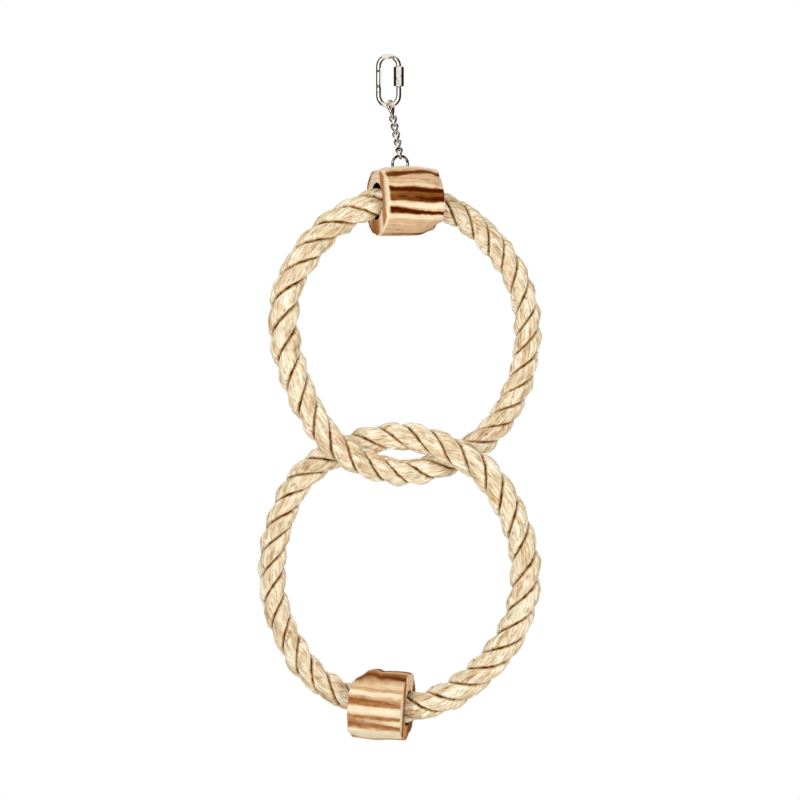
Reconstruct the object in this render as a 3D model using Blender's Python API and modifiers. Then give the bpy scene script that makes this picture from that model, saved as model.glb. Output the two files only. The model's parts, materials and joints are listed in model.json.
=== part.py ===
"""Double ring bird swing.

A quick link, a short twisted chain and a staple carry a rope ring whose ends
meet inside a drilled log block. A second rope ring, with a block of its own,
hangs linked through the first. Metres, +Z up, seen from the front along +Y.
The origin is the inside of the quick link's top bend, where a bar carries it.
"""

import math

import bmesh
import bpy
import numpy as np
from mathutils import Matrix, Vector

# Fits and facets shared by all the pieces
FIT_GAP = 0.0003
WELD_DISTANCE = 1e-6
WIRE_SIDES = 8
HOLE_SIDES = 16
BEND_STEPS = 12
SHARP_ANGLE = math.radians(40.0)
QUARTER_TURN = math.radians(90.0)
PIVOT_MARK = 0.010

# Quick link: an oval of wire, open on its right side, closed by a sleeve nut
QUICK_WIRE = 0.0035
QUICK_INNER_WIDTH = 0.0102
QUICK_INNER_LENGTH = 0.0300
STUB_LENGTH = 0.0018
MOUTH_LENGTH = 0.0042
NUT_LENGTH = 0.0135
NUT_WALL = 0.00095
NUT_SIDES = 6
NUT_TOP_GAP = 0.0002

# Chain: one larger end link and five twisted links, leaning to the right
CHAIN_LEAN = math.radians(10.8)
END_LINK_WIRE = 0.0020
END_LINK_INNER_LENGTH = 0.0102
END_LINK_INNER_WIDTH = 0.0068
END_LINK_TURN = math.radians(60.0)
CHAIN_WIRE = 0.0015
CHAIN_INNER_LENGTH = 0.0059
CHAIN_INNER_WIDTH = 0.0028
CHAIN_LINKS = 5
LINK_BEND_STEPS = 8

# Staple: a wire arch with both legs driven into the upper block
STAPLE_WIRE = 0.0019
STAPLE_SPAN = 0.0109
STAPLE_RISE = 0.0073
STAPLE_LEG_DEPTH = 0.0085
STAPLE_OFFSET = -0.0040

# Rope rings: three-strand rope on an oval, drawn slightly tall by its weight
ROPE_DIAMETER = 0.0200
ROPE_LAY = 0.0520
ROPE_STRANDS = 3
ROPE_GROOVE = 0.0018
ROPE_SIDES = 12
RING_WIDTH = 0.1760
RING_HEIGHT = 0.1840
UPPER_YAW = math.radians(19.0)
LOWER_YAW = math.radians(-12.0)
LOWER_SIDE_SHIFT = -0.0055
UPPER_LAY_START = math.radians(58.9)
LOWER_LAY_START = math.radians(30.9)
UPPER_LAY_DRIFT = 0.08
LOWER_LAY_DRIFT = -0.04
ROPE_END_GAP = 0.0012
SWING_DROP = 0.0045
RING_SAMPLES = 3600
HANG_ROUNDS = 20
HANG_STEPS = 90

# Blocks: drilled log sections with shallow natural ridges and eased rims
UPPER_BLOCK_DIAMETER = 0.0475
UPPER_BLOCK_LENGTH = 0.0425
LOWER_BLOCK_DIAMETER = 0.0485
LOWER_BLOCK_LENGTH = 0.0380
LOWER_BLOCK_TURN = math.radians(7.5)
BORE_CLEARANCE = 0.0004
BLOCK_SIDES = 40
RIDGE_DEPTH = 0.0007
RIDGE_WANDER = 0.3
RIDGE_WAVES = ((7, 1.0, 1.0, 1.0), (12, -0.4, 0.6, -1.0))
RIM_BEVEL = 0.0012
RIM_STEPS = 2
RIM_ANGLE = math.radians(50.0)

# Whippings on the rope ends, and the pins that hold them in the bore
WHIPPING_THICKNESS = 0.0007
WHIPPING_LENGTH = 0.0060
WHIPPING_FROM_END = 0.0010
NAIL_DIAMETER = 0.0018
NAIL_HEAD_DIAMETER = 0.0036
NAIL_HEAD_THICKNESS = 0.0008
NAIL_SINK = 0.0012
NAIL_PAST_WHIPPING = 0.0032
NAIL_IN_ROPE = 0.0090
NAIL_POINT = 0.0020

# Finishes: colour, roughness, metallic
STEEL_FINISH = ((0.55, 0.53, 0.50), 0.25, 1.0)
ROPE_FINISH = ((0.74, 0.60, 0.41), 0.85, 0.0)
WOOD_FINISH = ((0.55, 0.33, 0.17), 0.60, 0.0)
TWINE_FINISH = ((0.62, 0.52, 0.36), 0.80, 0.0)
NAIL_FINISH = ((0.40, 0.39, 0.38), 0.40, 1.0)

UP = Vector((0.0, 0.0, 1.0))
FRONT = Vector((0.0, -1.0, 0.0))


def clear_scene():
    """Remove every object the file starts with."""
    for item in list(bpy.data.objects):
        bpy.data.objects.remove(item, do_unlink=True)


def new_collection(name):
    """Make a collection and link it to the scene."""
    made = bpy.data.collections.new(name)
    bpy.context.scene.collection.children.link(made)
    return made


def new_material(name, finish):
    """Make a Principled material of one colour, roughness and metallic value."""
    colour, roughness, metallic = finish
    made = bpy.data.materials.new(name)
    made.use_nodes = True
    shader = made.node_tree.nodes["Principled BSDF"]
    shader.inputs["Base Color"].default_value = (*colour, 1.0)
    shader.inputs["Roughness"].default_value = roughness
    shader.inputs["Metallic"].default_value = metallic
    return made


def new_object(name, data, collection, material=None, parent=None):
    """Link an object to a collection, with its material and parent."""
    made = bpy.data.objects.new(name, data)
    collection.objects.link(made)
    if material:
        data.materials.append(material)
    made.parent = parent
    return made


def new_empty(name, collection, location):
    """Make an empty that stands on a joint's axis."""
    made = new_object(name, None, collection)
    made.empty_display_size = PIVOT_MARK
    made.location = location
    return made


def wire_curve(name, points, wire, cyclic=False):
    """Curve data of a round wire through points, with filled ends."""
    curve = bpy.data.curves.new(name, "CURVE")
    curve.dimensions = "3D"
    curve.bevel_depth = wire / 2
    curve.bevel_resolution = (WIRE_SIDES - 4) // 2
    curve.use_fill_caps = True
    spline = curve.splines.new("POLY")
    spline.points.add(len(points) - 1)
    for point, place in zip(spline.points, points):
        point.co = (*place, 1.0)
    spline.use_cyclic_u = cyclic
    return curve


def cylinder_mesh(name, radius, depth, sides):
    """Mesh of a closed cylinder along Z, centred on its origin."""
    mesh = bpy.data.meshes.new(name)
    shape = bmesh.new()
    bmesh.ops.create_cone(
        shape, cap_ends=True, segments=sides, radius1=radius, radius2=radius, depth=depth
    )
    shape.to_mesh(mesh)
    shape.free()
    return mesh


def turned_mesh(name, profile, closed):
    """Mesh of a profile, given as (radius, height) from the top down, for a Screw."""
    mesh = bpy.data.meshes.new(name)
    edges = [(i, i + 1) for i in range(len(profile) - 1)]
    if closed:
        edges.append((len(profile) - 1, 0))
    mesh.from_pydata([(radius, 0.0, height) for radius, height in profile], edges, [])
    return mesh


def add_screw(target, steps):
    """Turn a profile into a closed body round its Z axis."""
    screw = target.modifiers.new("turned", "SCREW")
    screw.axis = "Z"
    screw.steps = steps
    screw.render_steps = steps
    screw.use_merge_vertices = True
    screw.merge_threshold = WELD_DISTANCE


def drill(target, cutters, name, radius, depth, place, parent):
    """Cut a round hole, with its cutter's matrix given in the parent's frame."""
    mesh = cylinder_mesh(name, radius, depth, HOLE_SIDES)
    cutter = new_object(name, mesh, cutters, parent=parent)
    cutter.matrix_basis = place
    cutter.hide_render = True
    cutter.display_type = "WIRE"
    cut = target.modifiers.new(name, "BOOLEAN")
    cut.operation = "DIFFERENCE"
    cut.solver = "EXACT"
    cut.object = cutter


def smooth(target):
    """Shade a mesh smooth, with its corners kept sharp."""
    target.data.shade_smooth()
    target.data.set_sharp_from_angle(angle=SHARP_ANGLE)


def arc(centre, radius, start, end, steps):
    """Points of an arc in the XZ plane, angles from +X towards +Z."""
    turns = np.linspace(start, end, steps + 1)
    return [
        (centre[0] + radius * math.cos(a), 0.0, centre[1] + radius * math.sin(a)) for a in turns
    ]


class QuickLink:
    """Places on the quick link's wire, from its driving sizes."""

    half_width = (QUICK_INNER_WIDTH + QUICK_WIRE) / 2
    top_centre = QUICK_WIRE / 2 - half_width
    bottom_centre = -QUICK_INNER_LENGTH - QUICK_WIRE / 2 + half_width
    stub_end = top_centre - STUB_LENGTH
    post_end = stub_end - MOUTH_LENGTH
    nut_centre = top_centre - NUT_TOP_GAP - NUT_LENGTH / 2

    @classmethod
    def crown(cls):
        """Wire centre on the bottom bend where the leaning chain pulls."""
        return Vector(
            (
                cls.half_width * math.sin(CHAIN_LEAN),
                0.0,
                cls.bottom_centre - cls.half_width * math.cos(CHAIN_LEAN),
            )
        )


def build_quick_link(parts, steel):
    """The oval of wire, open on its right side between a stub and a post."""
    half = QuickLink.half_width
    points = [(half, 0.0, QuickLink.stub_end)]
    points += arc((0.0, QuickLink.top_centre), half, 0.0, math.pi, BEND_STEPS)
    points += arc((0.0, QuickLink.bottom_centre), half, math.pi, 2 * math.pi, BEND_STEPS)
    points.append((half, 0.0, QuickLink.post_end))
    body = wire_curve("quick_link_body", points, QUICK_WIRE)
    new_object("quick_link_body", body, parts, steel)


def build_nut(parts, cutters, steel):
    """The hexagonal sleeve nut, bored to slide on the wire."""
    bore = QUICK_WIRE / 2 + FIT_GAP
    corner = (bore + NUT_WALL) / math.cos(math.pi / NUT_SIDES)
    mesh = cylinder_mesh("quick_link_nut", corner, NUT_LENGTH, NUT_SIDES)
    nut = new_object("quick_link_nut", mesh, parts, steel)
    nut.location = (QuickLink.half_width, 0.0, QuickLink.nut_centre)
    drill(nut, cutters, "nut_bore", bore, 2 * NUT_LENGTH, Matrix(), nut)


def link_points(length, width, turn, twist, hang):
    """Centreline of a twisted oval link in its own frame.

    The oval lies below its joint, with its top wire hang above the joint. Its
    width points along turn at the top, and twist further round at the bottom.
    """
    half, straight = width / 2, length / 2 - width / 2
    outline = arc((0.0, straight), half, 0.0, math.pi, LINK_BEND_STEPS)
    outline.append((-half, 0.0, 0.0))
    outline += arc((0.0, -straight), half, math.pi, 2 * math.pi, LINK_BEND_STEPS)
    outline.append((half, 0.0, 0.0))
    placed = []
    for across, _, height in outline:
        share = min(max((length / 2 - height) / length, 0.0), 1.0)
        angle = turn + twist * share * share * (3.0 - 2.0 * share)
        placed.append(
            (across * math.cos(angle), across * math.sin(angle), height - length / 2 + hang)
        )
    return placed


def build_chain(parts, steel):
    """The end link and the twisted links. Returns where the staple's crown hangs.

    Each link turns on the wire it hangs on, or on its own top wire, in turns, so
    that the chain bends fore and aft and from side to side.
    """
    down = Vector((math.sin(CHAIN_LEAN), 0.0, -math.cos(CHAIN_LEAN)))
    lean = Matrix.Rotation(-CHAIN_LEAN, 4, "Y")
    crown = QuickLink.crown()
    link_step = UPPER_YAW / CHAIN_LINKS

    def add_link(name, wire, inner, width, turn, twist, hang, along):
        points = link_points(inner + wire, width + wire, turn, twist, hang)
        link = new_object(name, wire_curve(name, points, wire, cyclic=True), parts, steel)
        link.matrix_basis = Matrix.Translation(crown + down * along) @ lean

    hang = (QUICK_WIRE + END_LINK_WIRE) / 2 + FIT_GAP
    twist = QUARTER_TURN - END_LINK_TURN
    add_link(
        "chain_end_link",
        END_LINK_WIRE,
        END_LINK_INNER_LENGTH,
        END_LINK_INNER_WIDTH,
        END_LINK_TURN,
        twist,
        hang,
        0.0,
    )
    bottom = END_LINK_INNER_LENGTH + END_LINK_WIRE - hang
    above = END_LINK_WIRE
    for index in range(CHAIN_LINKS):
        reach = (above + CHAIN_WIRE) / 2 + FIT_GAP
        top = bottom - reach
        hang = reach if index % 2 == 0 else 0.0
        add_link(
            f"chain_link_{index + 1}",
            CHAIN_WIRE,
            CHAIN_INNER_LENGTH,
            CHAIN_INNER_WIDTH,
            index * link_step,
            QUARTER_TURN + link_step,
            hang,
            top + hang,
        )
        bottom = top + CHAIN_INNER_LENGTH + CHAIN_WIRE
        above = CHAIN_WIRE
    staple_reach = (CHAIN_WIRE + STAPLE_WIRE) / 2 + FIT_GAP
    return crown + down * (bottom - staple_reach)


class Ring:
    """An oval of rope in a vertical plane, with a block at one station.

    A station is an angle round the oval from its top, towards +X. In the ring's
    own frame the oval lies in XZ, and yaw turns that frame about Z.
    """

    def __init__(self, yaw, lay_start, lay_drift, block_station, block_length, block_diameter):
        self.yaw = yaw
        self.lay_start = lay_start
        self.lay_drift = lay_drift
        self.block_station = block_station
        self.block_length = block_length
        self.block_radius = block_diameter / 2
        self.centre = Vector()
        self.whipping_radius = ROPE_DIAMETER / 2 + FIT_GAP + WHIPPING_THICKNESS
        self.bore_offset, self.bore_radius = self.fit_bore()
        self.bore_corner = self.bore_radius / math.cos(math.pi / HOLE_SIDES)

    @staticmethod
    def middles(stations):
        """Centreline points of an array of stations, in the ring's frame."""
        level = np.zeros_like(stations)
        across, up = RING_WIDTH / 2 * np.sin(stations), RING_HEIGHT / 2 * np.cos(stations)
        return np.stack([across, level, up], axis=-1)

    @staticmethod
    def outwards(stations):
        """Unit directions out of the ring at an array of stations, in the ring's frame."""
        level = np.zeros_like(stations)
        across, up = RING_HEIGHT / 2 * np.sin(stations), RING_WIDTH / 2 * np.cos(stations)
        return np.stack([across, level, up], axis=-1) / np.hypot(across, up)[..., None]

    def frame(self, station):
        """Matrix at a station: X out of the ring, Y to the front, Z along the rope."""
        out = Vector(self.outwards(np.array(station)))
        made = Matrix((out, FRONT, out.cross(FRONT))).transposed().to_4x4()
        made.translation = Vector(self.middles(np.array(station)))
        return made

    def measured(self, turn):
        """Fine stations from the block through a signed turn, and the rope run to each."""
        fine = self.block_station + np.linspace(0.0, turn, RING_SAMPLES + 1)
        pieces = np.linalg.norm(np.diff(self.middles(fine), axis=0), axis=1)
        return fine, np.concatenate([[0.0], np.cumsum(pieces)])

    def laid(self, steps_per_lay):
        """Stations along the rope from end to end, and the strands' turn at each.

        The strands turn once in each lay, and the lay is longer on the ring's left side
        and shorter on its right by the ring's own drift.
        """
        fine, run = self.measured(2 * math.pi)
        lay = ROPE_LAY * (1.0 - self.lay_drift * np.sin(fine[1:]))
        turn = self.lay_start + np.concatenate([[0.0], np.cumsum(2 * math.pi * np.diff(run) / lay)])
        steps = round(run[-1] / ROPE_LAY * steps_per_lay)
        wanted = np.linspace(ROPE_END_GAP / 2, run[-1] - ROPE_END_GAP / 2, steps + 1)
        return np.interp(wanted, run, fine), np.interp(wanted, run, turn)

    @staticmethod
    def rope_radius(past):
        """Rope radius at angles past the first strand's crest, in grooves between the strands."""
        return ROPE_DIAMETER / 2 - ROPE_GROOVE / 2 * (1.0 - np.cos(ROPE_STRANDS * past))

    def surface(self):
        """Points of the rope's surface in the ring's frame, an array of stations by sides."""
        stations, turn = self.laid(ROPE_SIDES)
        angle = np.arange(ROPE_SIDES) * 2 * math.pi / ROPE_SIDES
        radius = self.rope_radius(angle[None] - turn[:, None])
        out = np.cos(angle)[None, :, None] * self.outwards(stations)[:, None]
        arm = out + np.sin(angle)[None, :, None] * np.array(FRONT)
        return self.middles(stations)[:, None] + radius[..., None] * arm

    def clearance(self, points):
        """Least distance from an array of points, in the ring's frame, to the rope's surface."""
        stations, turn = self.laid(HANG_STEPS)
        apart = np.linalg.norm(points[:, None] - self.middles(stations)[None], axis=2)
        nearest = apart.argmin(axis=1)
        arm = points - self.middles(stations)[nearest]
        out, front = (arm * self.outwards(stations)[nearest]).sum(axis=1), arm @ np.array(FRONT)
        past = np.arctan2(front, out) - turn[nearest]
        return (np.hypot(out, front) - self.rope_radius(past)).min()

    def station_at(self, distance):
        """The station a distance along the rope from the block's middle, signed."""
        fine, run = self.measured(math.copysign(math.pi / 2, distance))
        return float(np.interp(abs(distance), run, fine))

    def fit_bore(self):
        """How far the bore's axis lies from the rope's middle, and the bore's radius.

        The rope bends through a straight bore: in the middle its whipping comes
        nearest the outer wall, and at the mouths the rope nears the inner wall.
        """
        back = self.frame(self.block_station).inverted()
        fall = 0.0
        for side in (-0.5, 0.5):
            mouth = self.station_at(side * self.block_length)
            local = back @ self.frame(mouth)
            slope = local.to_3x3() @ UP
            fall = max(fall, ROPE_DIAMETER / 2 / abs(slope.z) - local.translation.x)
        radius = (self.whipping_radius + fall) / 2 + BORE_CLEARANCE
        return (self.whipping_radius - fall) / 2, radius

    def local(self, station):
        """Matrix of a station from the ring's centre, with the ring's yaw."""
        return Matrix.Rotation(self.yaw, 4, "Z") @ self.frame(station)

    def block_matrix(self):
        """Matrix of the block's middle on its bore axis, from the ring's centre."""
        return self.local(self.block_station) @ Matrix.Translation((self.bore_offset, 0.0, 0.0))

    def turned_to(self, other, points):
        """Points of this ring's frame as the other ring's frame would have them, same centre."""
        turn = Matrix.Rotation(self.yaw - other.yaw, 3, "Z")
        return points @ np.array(turn).T


def hanging_drop(upper, lower):
    """How far below the upper ring's centre the lower ring hangs.

    The lower ring sinks until its rope's surface is a fit gap away from the upper rope's.
    """
    hung = lower.turned_to(upper, lower.surface().reshape(-1, 3))
    hung = hung[hung[:, 2] > RING_HEIGHT / 4]
    aside = np.array(Matrix.Rotation(-upper.yaw, 3, "Z") @ Vector((LOWER_SIDE_SHIFT, 0.0, 0.0)))
    near, far = RING_HEIGHT - 3 * ROPE_DIAMETER, RING_HEIGHT - ROPE_DIAMETER / 2
    for _ in range(HANG_ROUNDS):
        drop = (near + far) / 2
        if upper.clearance(hung + aside - drop * np.array(UP)) > FIT_GAP:
            near = drop
        else:
            far = drop
    return near


def build_rope(name, ring, parts, material, pivot):
    """One length of laid rope: a closed tube whose triangles run along its strands."""
    points = ring.surface()
    count = len(points)
    corner = np.arange(count * ROPE_SIDES).reshape(count, ROPE_SIDES)
    here, there = corner[:-1], corner[1:]
    ahead, beyond = np.roll(here, -1, axis=1), np.roll(there, -1, axis=1)
    first = np.stack((here, ahead, beyond), axis=-1).reshape(-1, 3)
    second = np.stack((here, beyond, there), axis=-1).reshape(-1, 3)
    faces = np.concatenate((first, second)).tolist()
    faces += [corner[0, ::-1].tolist(), corner[-1].tolist()]
    mesh = bpy.data.meshes.new(name)
    mesh.from_pydata(points.reshape(-1, 3).tolist(), [], faces)
    rope = new_object(name, mesh, parts, material, pivot)
    rope.matrix_basis = Matrix.Translation(ring.centre - pivot.matrix_world.translation)
    rope.matrix_basis @= Matrix.Rotation(ring.yaw, 4, "Z")
    smooth(rope)
    return rope


def build_block(name, ring, parts, material, pivot):
    """A log section: a cylinder moved into shallow ridges, with eased rims.

    The ridges are a sum of waves round the log, each given as its count, start,
    height and way of wandering along the log, and they only take wood away.
    """
    mesh = cylinder_mesh(name, ring.block_radius, ring.block_length, BLOCK_SIDES)
    highest = sum(height for _, _, height, _ in RIDGE_WAVES)
    for vertex in mesh.vertices:
        angle = math.atan2(vertex.co.y, vertex.co.x)
        wander = RIDGE_WANDER * vertex.co.z / ring.block_length
        ridges = sum(
            height * math.cos(count * angle + start + way * wander)
            for count, start, height, way in RIDGE_WAVES
        )
        taken = RIDGE_DEPTH * (highest - ridges) / (2 * highest)
        scale = 1.0 - taken / ring.block_radius
        vertex.co.x *= scale
        vertex.co.y *= scale
    block = new_object(name, mesh, parts, material, pivot)
    block.matrix_basis = (
        Matrix.Translation(ring.centre - pivot.matrix_world.translation) @ ring.block_matrix()
    )
    smooth(block)
    rim = block.modifiers.new("rim", "BEVEL")
    rim.width = RIM_BEVEL
    rim.segments = RIM_STEPS
    rim.limit_method = "ANGLE"
    rim.angle_limit = RIM_ANGLE
    return block


def bore_block(block, ring, cutters):
    """Drill the bore that the rope runs through."""
    drill(
        block,
        cutters,
        f"{block.name}_bore",
        ring.bore_corner,
        2 * ring.block_length,
        Matrix(),
        block,
    )


def build_staple(block, ring, parts, cutters, steel, pivot):
    """The staple's arch along the block's axis, and the two holes its legs fill."""
    half = STAPLE_SPAN / 2
    wall = ring.block_radius - ring.bore_corner
    leg = min(STAPLE_LEG_DEPTH, wall - RIDGE_DEPTH - 2 * FIT_GAP)
    foot = -STAPLE_RISE - leg
    turns = np.linspace(0.0, math.pi, BEND_STEPS + 1)
    arch = [(half * (math.sin(a) - 1.0), 0.0, half * math.cos(a)) for a in turns]
    points = [(foot, 0.0, half), *arch, (foot, 0.0, -half)]
    curve = wire_curve("hanging_staple", points, STAPLE_WIRE)
    staple = new_object("hanging_staple", curve, parts, steel, pivot)
    staple.matrix_basis = ring.block_matrix().to_3x3().to_4x4()
    hole = STAPLE_WIRE / 2 + FIT_GAP
    middle = ring.block_radius - leg - FIT_GAP + ring.block_radius / 2
    for side, word in ((-1, "left"), (1, "right")):
        place = Matrix.Translation((middle, 0.0, STAPLE_OFFSET + side * half))
        place @= Matrix.Rotation(QUARTER_TURN, 4, "Y")
        drill(block, cutters, f"staple_hole_{word}", hole, ring.block_radius, place, block)


def build_nail(name, block, rope, ring, side, parts, cutters, steel):
    """A pin driven in from the back, through the block's wall and into the rope."""
    head, shank = NAIL_HEAD_DIAMETER / 2, NAIL_DIAMETER / 2
    top = ring.block_radius - NAIL_SINK
    seat = top - NAIL_HEAD_THICKNESS
    tip = ROPE_DIAMETER / 2 - NAIL_IN_ROPE
    profile = [(0.0, top), (head, top), (head, seat), (shank, seat)]
    profile += [(shank, tip + NAIL_POINT), (0.0, tip)]
    nail = new_object(name, turned_mesh(name, profile, False), parts, steel, block)
    beyond = ROPE_END_GAP / 2 + WHIPPING_FROM_END + WHIPPING_LENGTH + NAIL_PAST_WHIPPING
    along = side * (beyond + shank + FIT_GAP)
    sink = ring.frame(ring.block_station).inverted() @ ring.frame(ring.station_at(along))
    place = Matrix.Translation((sink.translation.x - ring.bore_offset, 0.0, along))
    place @= Matrix.Rotation(QUARTER_TURN, 4, "X")
    nail.matrix_basis = place
    add_screw(nail, HOLE_SIDES)
    deep = top - tip + FIT_GAP
    outside = ring.block_radius - top + RIM_BEVEL
    hole = place @ Matrix.Translation((0.0, 0.0, top - deep / 2))
    wide = place @ Matrix.Translation((0.0, 0.0, seat - FIT_GAP + (top - seat + outside) / 2))
    drill(block, cutters, f"{name}_hole", shank + FIT_GAP, deep, hole, block)
    drill(block, cutters, f"{name}_seat", head + FIT_GAP, top - seat + outside, wide, block)
    drill(rope, cutters, f"{name}_rope_hole", shank + FIT_GAP, deep, hole, block)


def build_whipping(name, ring, side, parts, material, pivot):
    """A binding turned round one rope end, inside the bore."""
    inner, outer = ROPE_DIAMETER / 2 + FIT_GAP, ring.whipping_radius
    half = WHIPPING_LENGTH / 2
    profile = [(outer, half), (outer, -half), (inner, -half), (inner, half)]
    ring_of_twine = new_object(name, turned_mesh(name, profile, True), parts, material, pivot)
    along = side * (ROPE_END_GAP / 2 + WHIPPING_FROM_END + half)
    ring_of_twine.matrix_basis = Matrix.Translation(
        ring.centre - pivot.matrix_world.translation
    ) @ ring.local(ring.station_at(along))
    add_screw(ring_of_twine, 2 * HOLE_SIDES)


def build_ring(which, ring, parts, cutters, finishes, pivot):
    """A rope ring with its block, its whippings and its nails. Returns the block."""
    rope = build_rope(f"{which}_rope", ring, parts, finishes["rope"], pivot)
    block = build_block(f"{which}_block", ring, parts, finishes["wood"], pivot)
    bore_block(block, ring, cutters)
    bpy.context.view_layer.update()
    for side, word in ((-1, "left"), (1, "right")):
        hand = word if which == "upper" else {"left": "right", "right": "left"}[word]
        name = f"{which}_nail_{hand}"
        build_nail(name, block, rope, ring, side, parts, cutters, finishes["nail"])
        build_whipping(f"{which}_whipping_{hand}", ring, side, parts, finishes["twine"], pivot)
    return block


def main():
    """Build the swing from its hang point down."""
    clear_scene()
    parts = new_collection("double_ring_bird_swing")
    cutters = new_collection("cutters")
    steel = new_material("plated_steel", STEEL_FINISH)
    finishes = {
        "rope": new_material("natural_rope", ROPE_FINISH),
        "wood": new_material("barkless_log", WOOD_FINISH),
        "twine": new_material("whipping_twine", TWINE_FINISH),
        "nail": new_material("nail_steel", NAIL_FINISH),
    }
    build_quick_link(parts, steel)
    build_nut(parts, cutters, steel)
    staple_crown = build_chain(parts, steel)
    upper = Ring(
        UPPER_YAW,
        UPPER_LAY_START,
        UPPER_LAY_DRIFT,
        0.0,
        UPPER_BLOCK_LENGTH,
        UPPER_BLOCK_DIAMETER,
    )
    lower = Ring(
        LOWER_YAW,
        LOWER_LAY_START,
        LOWER_LAY_DRIFT,
        math.pi + LOWER_BLOCK_TURN,
        LOWER_BLOCK_LENGTH,
        LOWER_BLOCK_DIAMETER,
    )
    along = Vector((math.cos(UPPER_YAW), math.sin(UPPER_YAW), 0.0))
    below = STAPLE_RISE + upper.block_radius + upper.bore_offset + RING_HEIGHT / 2
    upper.centre = staple_crown - along * STAPLE_OFFSET - UP * below
    lower.centre = upper.centre + Vector((LOWER_SIDE_SHIFT, 0.0, -hanging_drop(upper, lower)))
    upper_pivot = new_empty("upper_ring_pivot", parts, staple_crown)
    swing_point = lower.centre + UP * (RING_HEIGHT / 2 - SWING_DROP)
    lower_pivot = new_empty("lower_ring_pivot", parts, swing_point)
    bpy.context.view_layer.update()
    upper_block = build_ring("upper", upper, parts, cutters, finishes, upper_pivot)
    build_staple(upper_block, upper, parts, cutters, steel, upper_pivot)
    build_ring("lower", lower, parts, cutters, finishes, lower_pivot)


main()
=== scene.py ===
"""Looks of a double ring bird swing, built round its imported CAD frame.

Two rings of three-strand rope, each closed through a drilled log block, hang linked
one in the other from a staple, a twisted chain and a quick link. Metres, +Z up, seen
from the front along +Y. Every piece stands where the CAD nodes that it replaces stand.
"""

from __future__ import annotations

import json
import logging
import math
from collections.abc import Sequence
from dataclasses import dataclass, field
from enum import Enum
from functools import cache
from typing import Any

import bpy
import numpy as np
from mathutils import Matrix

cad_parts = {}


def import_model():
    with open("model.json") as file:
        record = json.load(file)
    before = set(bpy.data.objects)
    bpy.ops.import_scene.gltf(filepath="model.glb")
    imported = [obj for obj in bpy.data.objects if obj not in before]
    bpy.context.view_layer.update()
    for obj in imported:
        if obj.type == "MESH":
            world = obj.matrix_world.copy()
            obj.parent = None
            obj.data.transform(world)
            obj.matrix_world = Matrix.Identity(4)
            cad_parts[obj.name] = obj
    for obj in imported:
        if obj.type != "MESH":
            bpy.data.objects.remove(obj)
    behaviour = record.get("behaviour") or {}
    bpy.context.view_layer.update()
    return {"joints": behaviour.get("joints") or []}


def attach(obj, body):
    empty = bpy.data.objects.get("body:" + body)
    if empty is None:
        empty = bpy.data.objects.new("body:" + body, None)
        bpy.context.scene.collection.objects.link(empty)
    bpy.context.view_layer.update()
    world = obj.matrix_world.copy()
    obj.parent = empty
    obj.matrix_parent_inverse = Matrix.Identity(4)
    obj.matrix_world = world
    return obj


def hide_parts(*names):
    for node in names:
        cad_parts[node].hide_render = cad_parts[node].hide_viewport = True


Array = np.ndarray
Vector = tuple[float, float, float]
Colour = tuple[float, float, float, float]
Stop = tuple[float, Colour]

LOG = logging.getLogger("swing")
MM = 0.001
TURN = 2.0 * math.pi
QUARTER = math.pi / 2
FRONT = np.array((0.0, -1.0, 0.0))
SIDES = ("left", "right")
NOISE_MIDDLE = 0.5

# A Mix node's sockets for colours: the share, the first and the second, and the output.
MIX_INPUTS = (0, 6, 7)
MIX_OUTPUT = 2


def srgb(red: int, green: int, blue: int) -> Colour:
    """A colour read as 8-bit sRGB, turned into linear light.

    A share c of full becomes c / 12.92 up to 0.04045, and ((c + 0.055) / 1.055)^2.4 above.

    Args:
        red: Red from 0 to 255.
        green: Green from 0 to 255.
        blue: Blue from 0 to 255.

    Returns:
        Linear red, green, blue and an alpha of 1.
    """
    share = np.array((red, green, blue)) / 255.0
    linear = np.where(share <= 0.04045, share / 12.92, ((share + 0.055) / 1.055) ** 2.4)
    return (*(float(part) for part in linear), 1.0)


def ease(value: Array | float, low: float, high: float) -> Array:
    """Smooth step: 0 below low, 1 above high, 3x^2 - 2x^3 between them."""
    share = np.clip((np.asarray(value) - low) / (high - low), 0.0, 1.0)
    return share * share * (3.0 - 2.0 * share)


def unit(vectors: Array) -> Array:
    """Vectors of the last axis, each divided by its length."""
    return vectors / np.linalg.norm(vectors, axis=-1, keepdims=True)


def turned(vectors: Array, angle: float) -> Array:
    """Vectors of the last axis, turned about Z by an angle."""
    spin = np.array(
        (
            (math.cos(angle), -math.sin(angle), 0.0),
            (math.sin(angle), math.cos(angle), 0.0),
            (0.0, 0.0, 1.0),
        )
    )
    return vectors @ spin.T


def wrapped(angle: Array) -> Array:
    """Angles brought to within half a turn of nothing."""
    return np.angle(np.exp(1j * angle))


def bell(apart: Array, spread: float, power: int = 2) -> Array:
    """A hump exp(-(x / s)^p), which is 1 in its middle."""
    return np.exp(-((apart / spread) ** power))


def circle(count: int) -> Array:
    """Angles of points set evenly round a circle."""
    return np.arange(count) * TURN / count


def together(*parts: Array | float) -> Array:
    """Parts of one shape, or single numbers, put side by side on a new last axis."""
    return np.stack(np.broadcast_arrays(*parts), axis=-1)


def joined(*stretches: tuple[Array | float, ...]) -> Array:
    """Rows of a path, stretch after stretch, each with its columns put together."""
    return np.concatenate([together(*stretch) for stretch in stretches])


def from_ends(count: int) -> Array:
    """How many rows each row of a tube lies from its nearer end."""
    return np.minimum(np.arange(count), np.arange(count)[::-1])


def hand(which: str, side: str) -> str:
    """Left or right as seen from the front, for a side that the lower ring turns over."""
    return side if which == "upper" else SIDES[1 - SIDES.index(side)]


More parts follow.
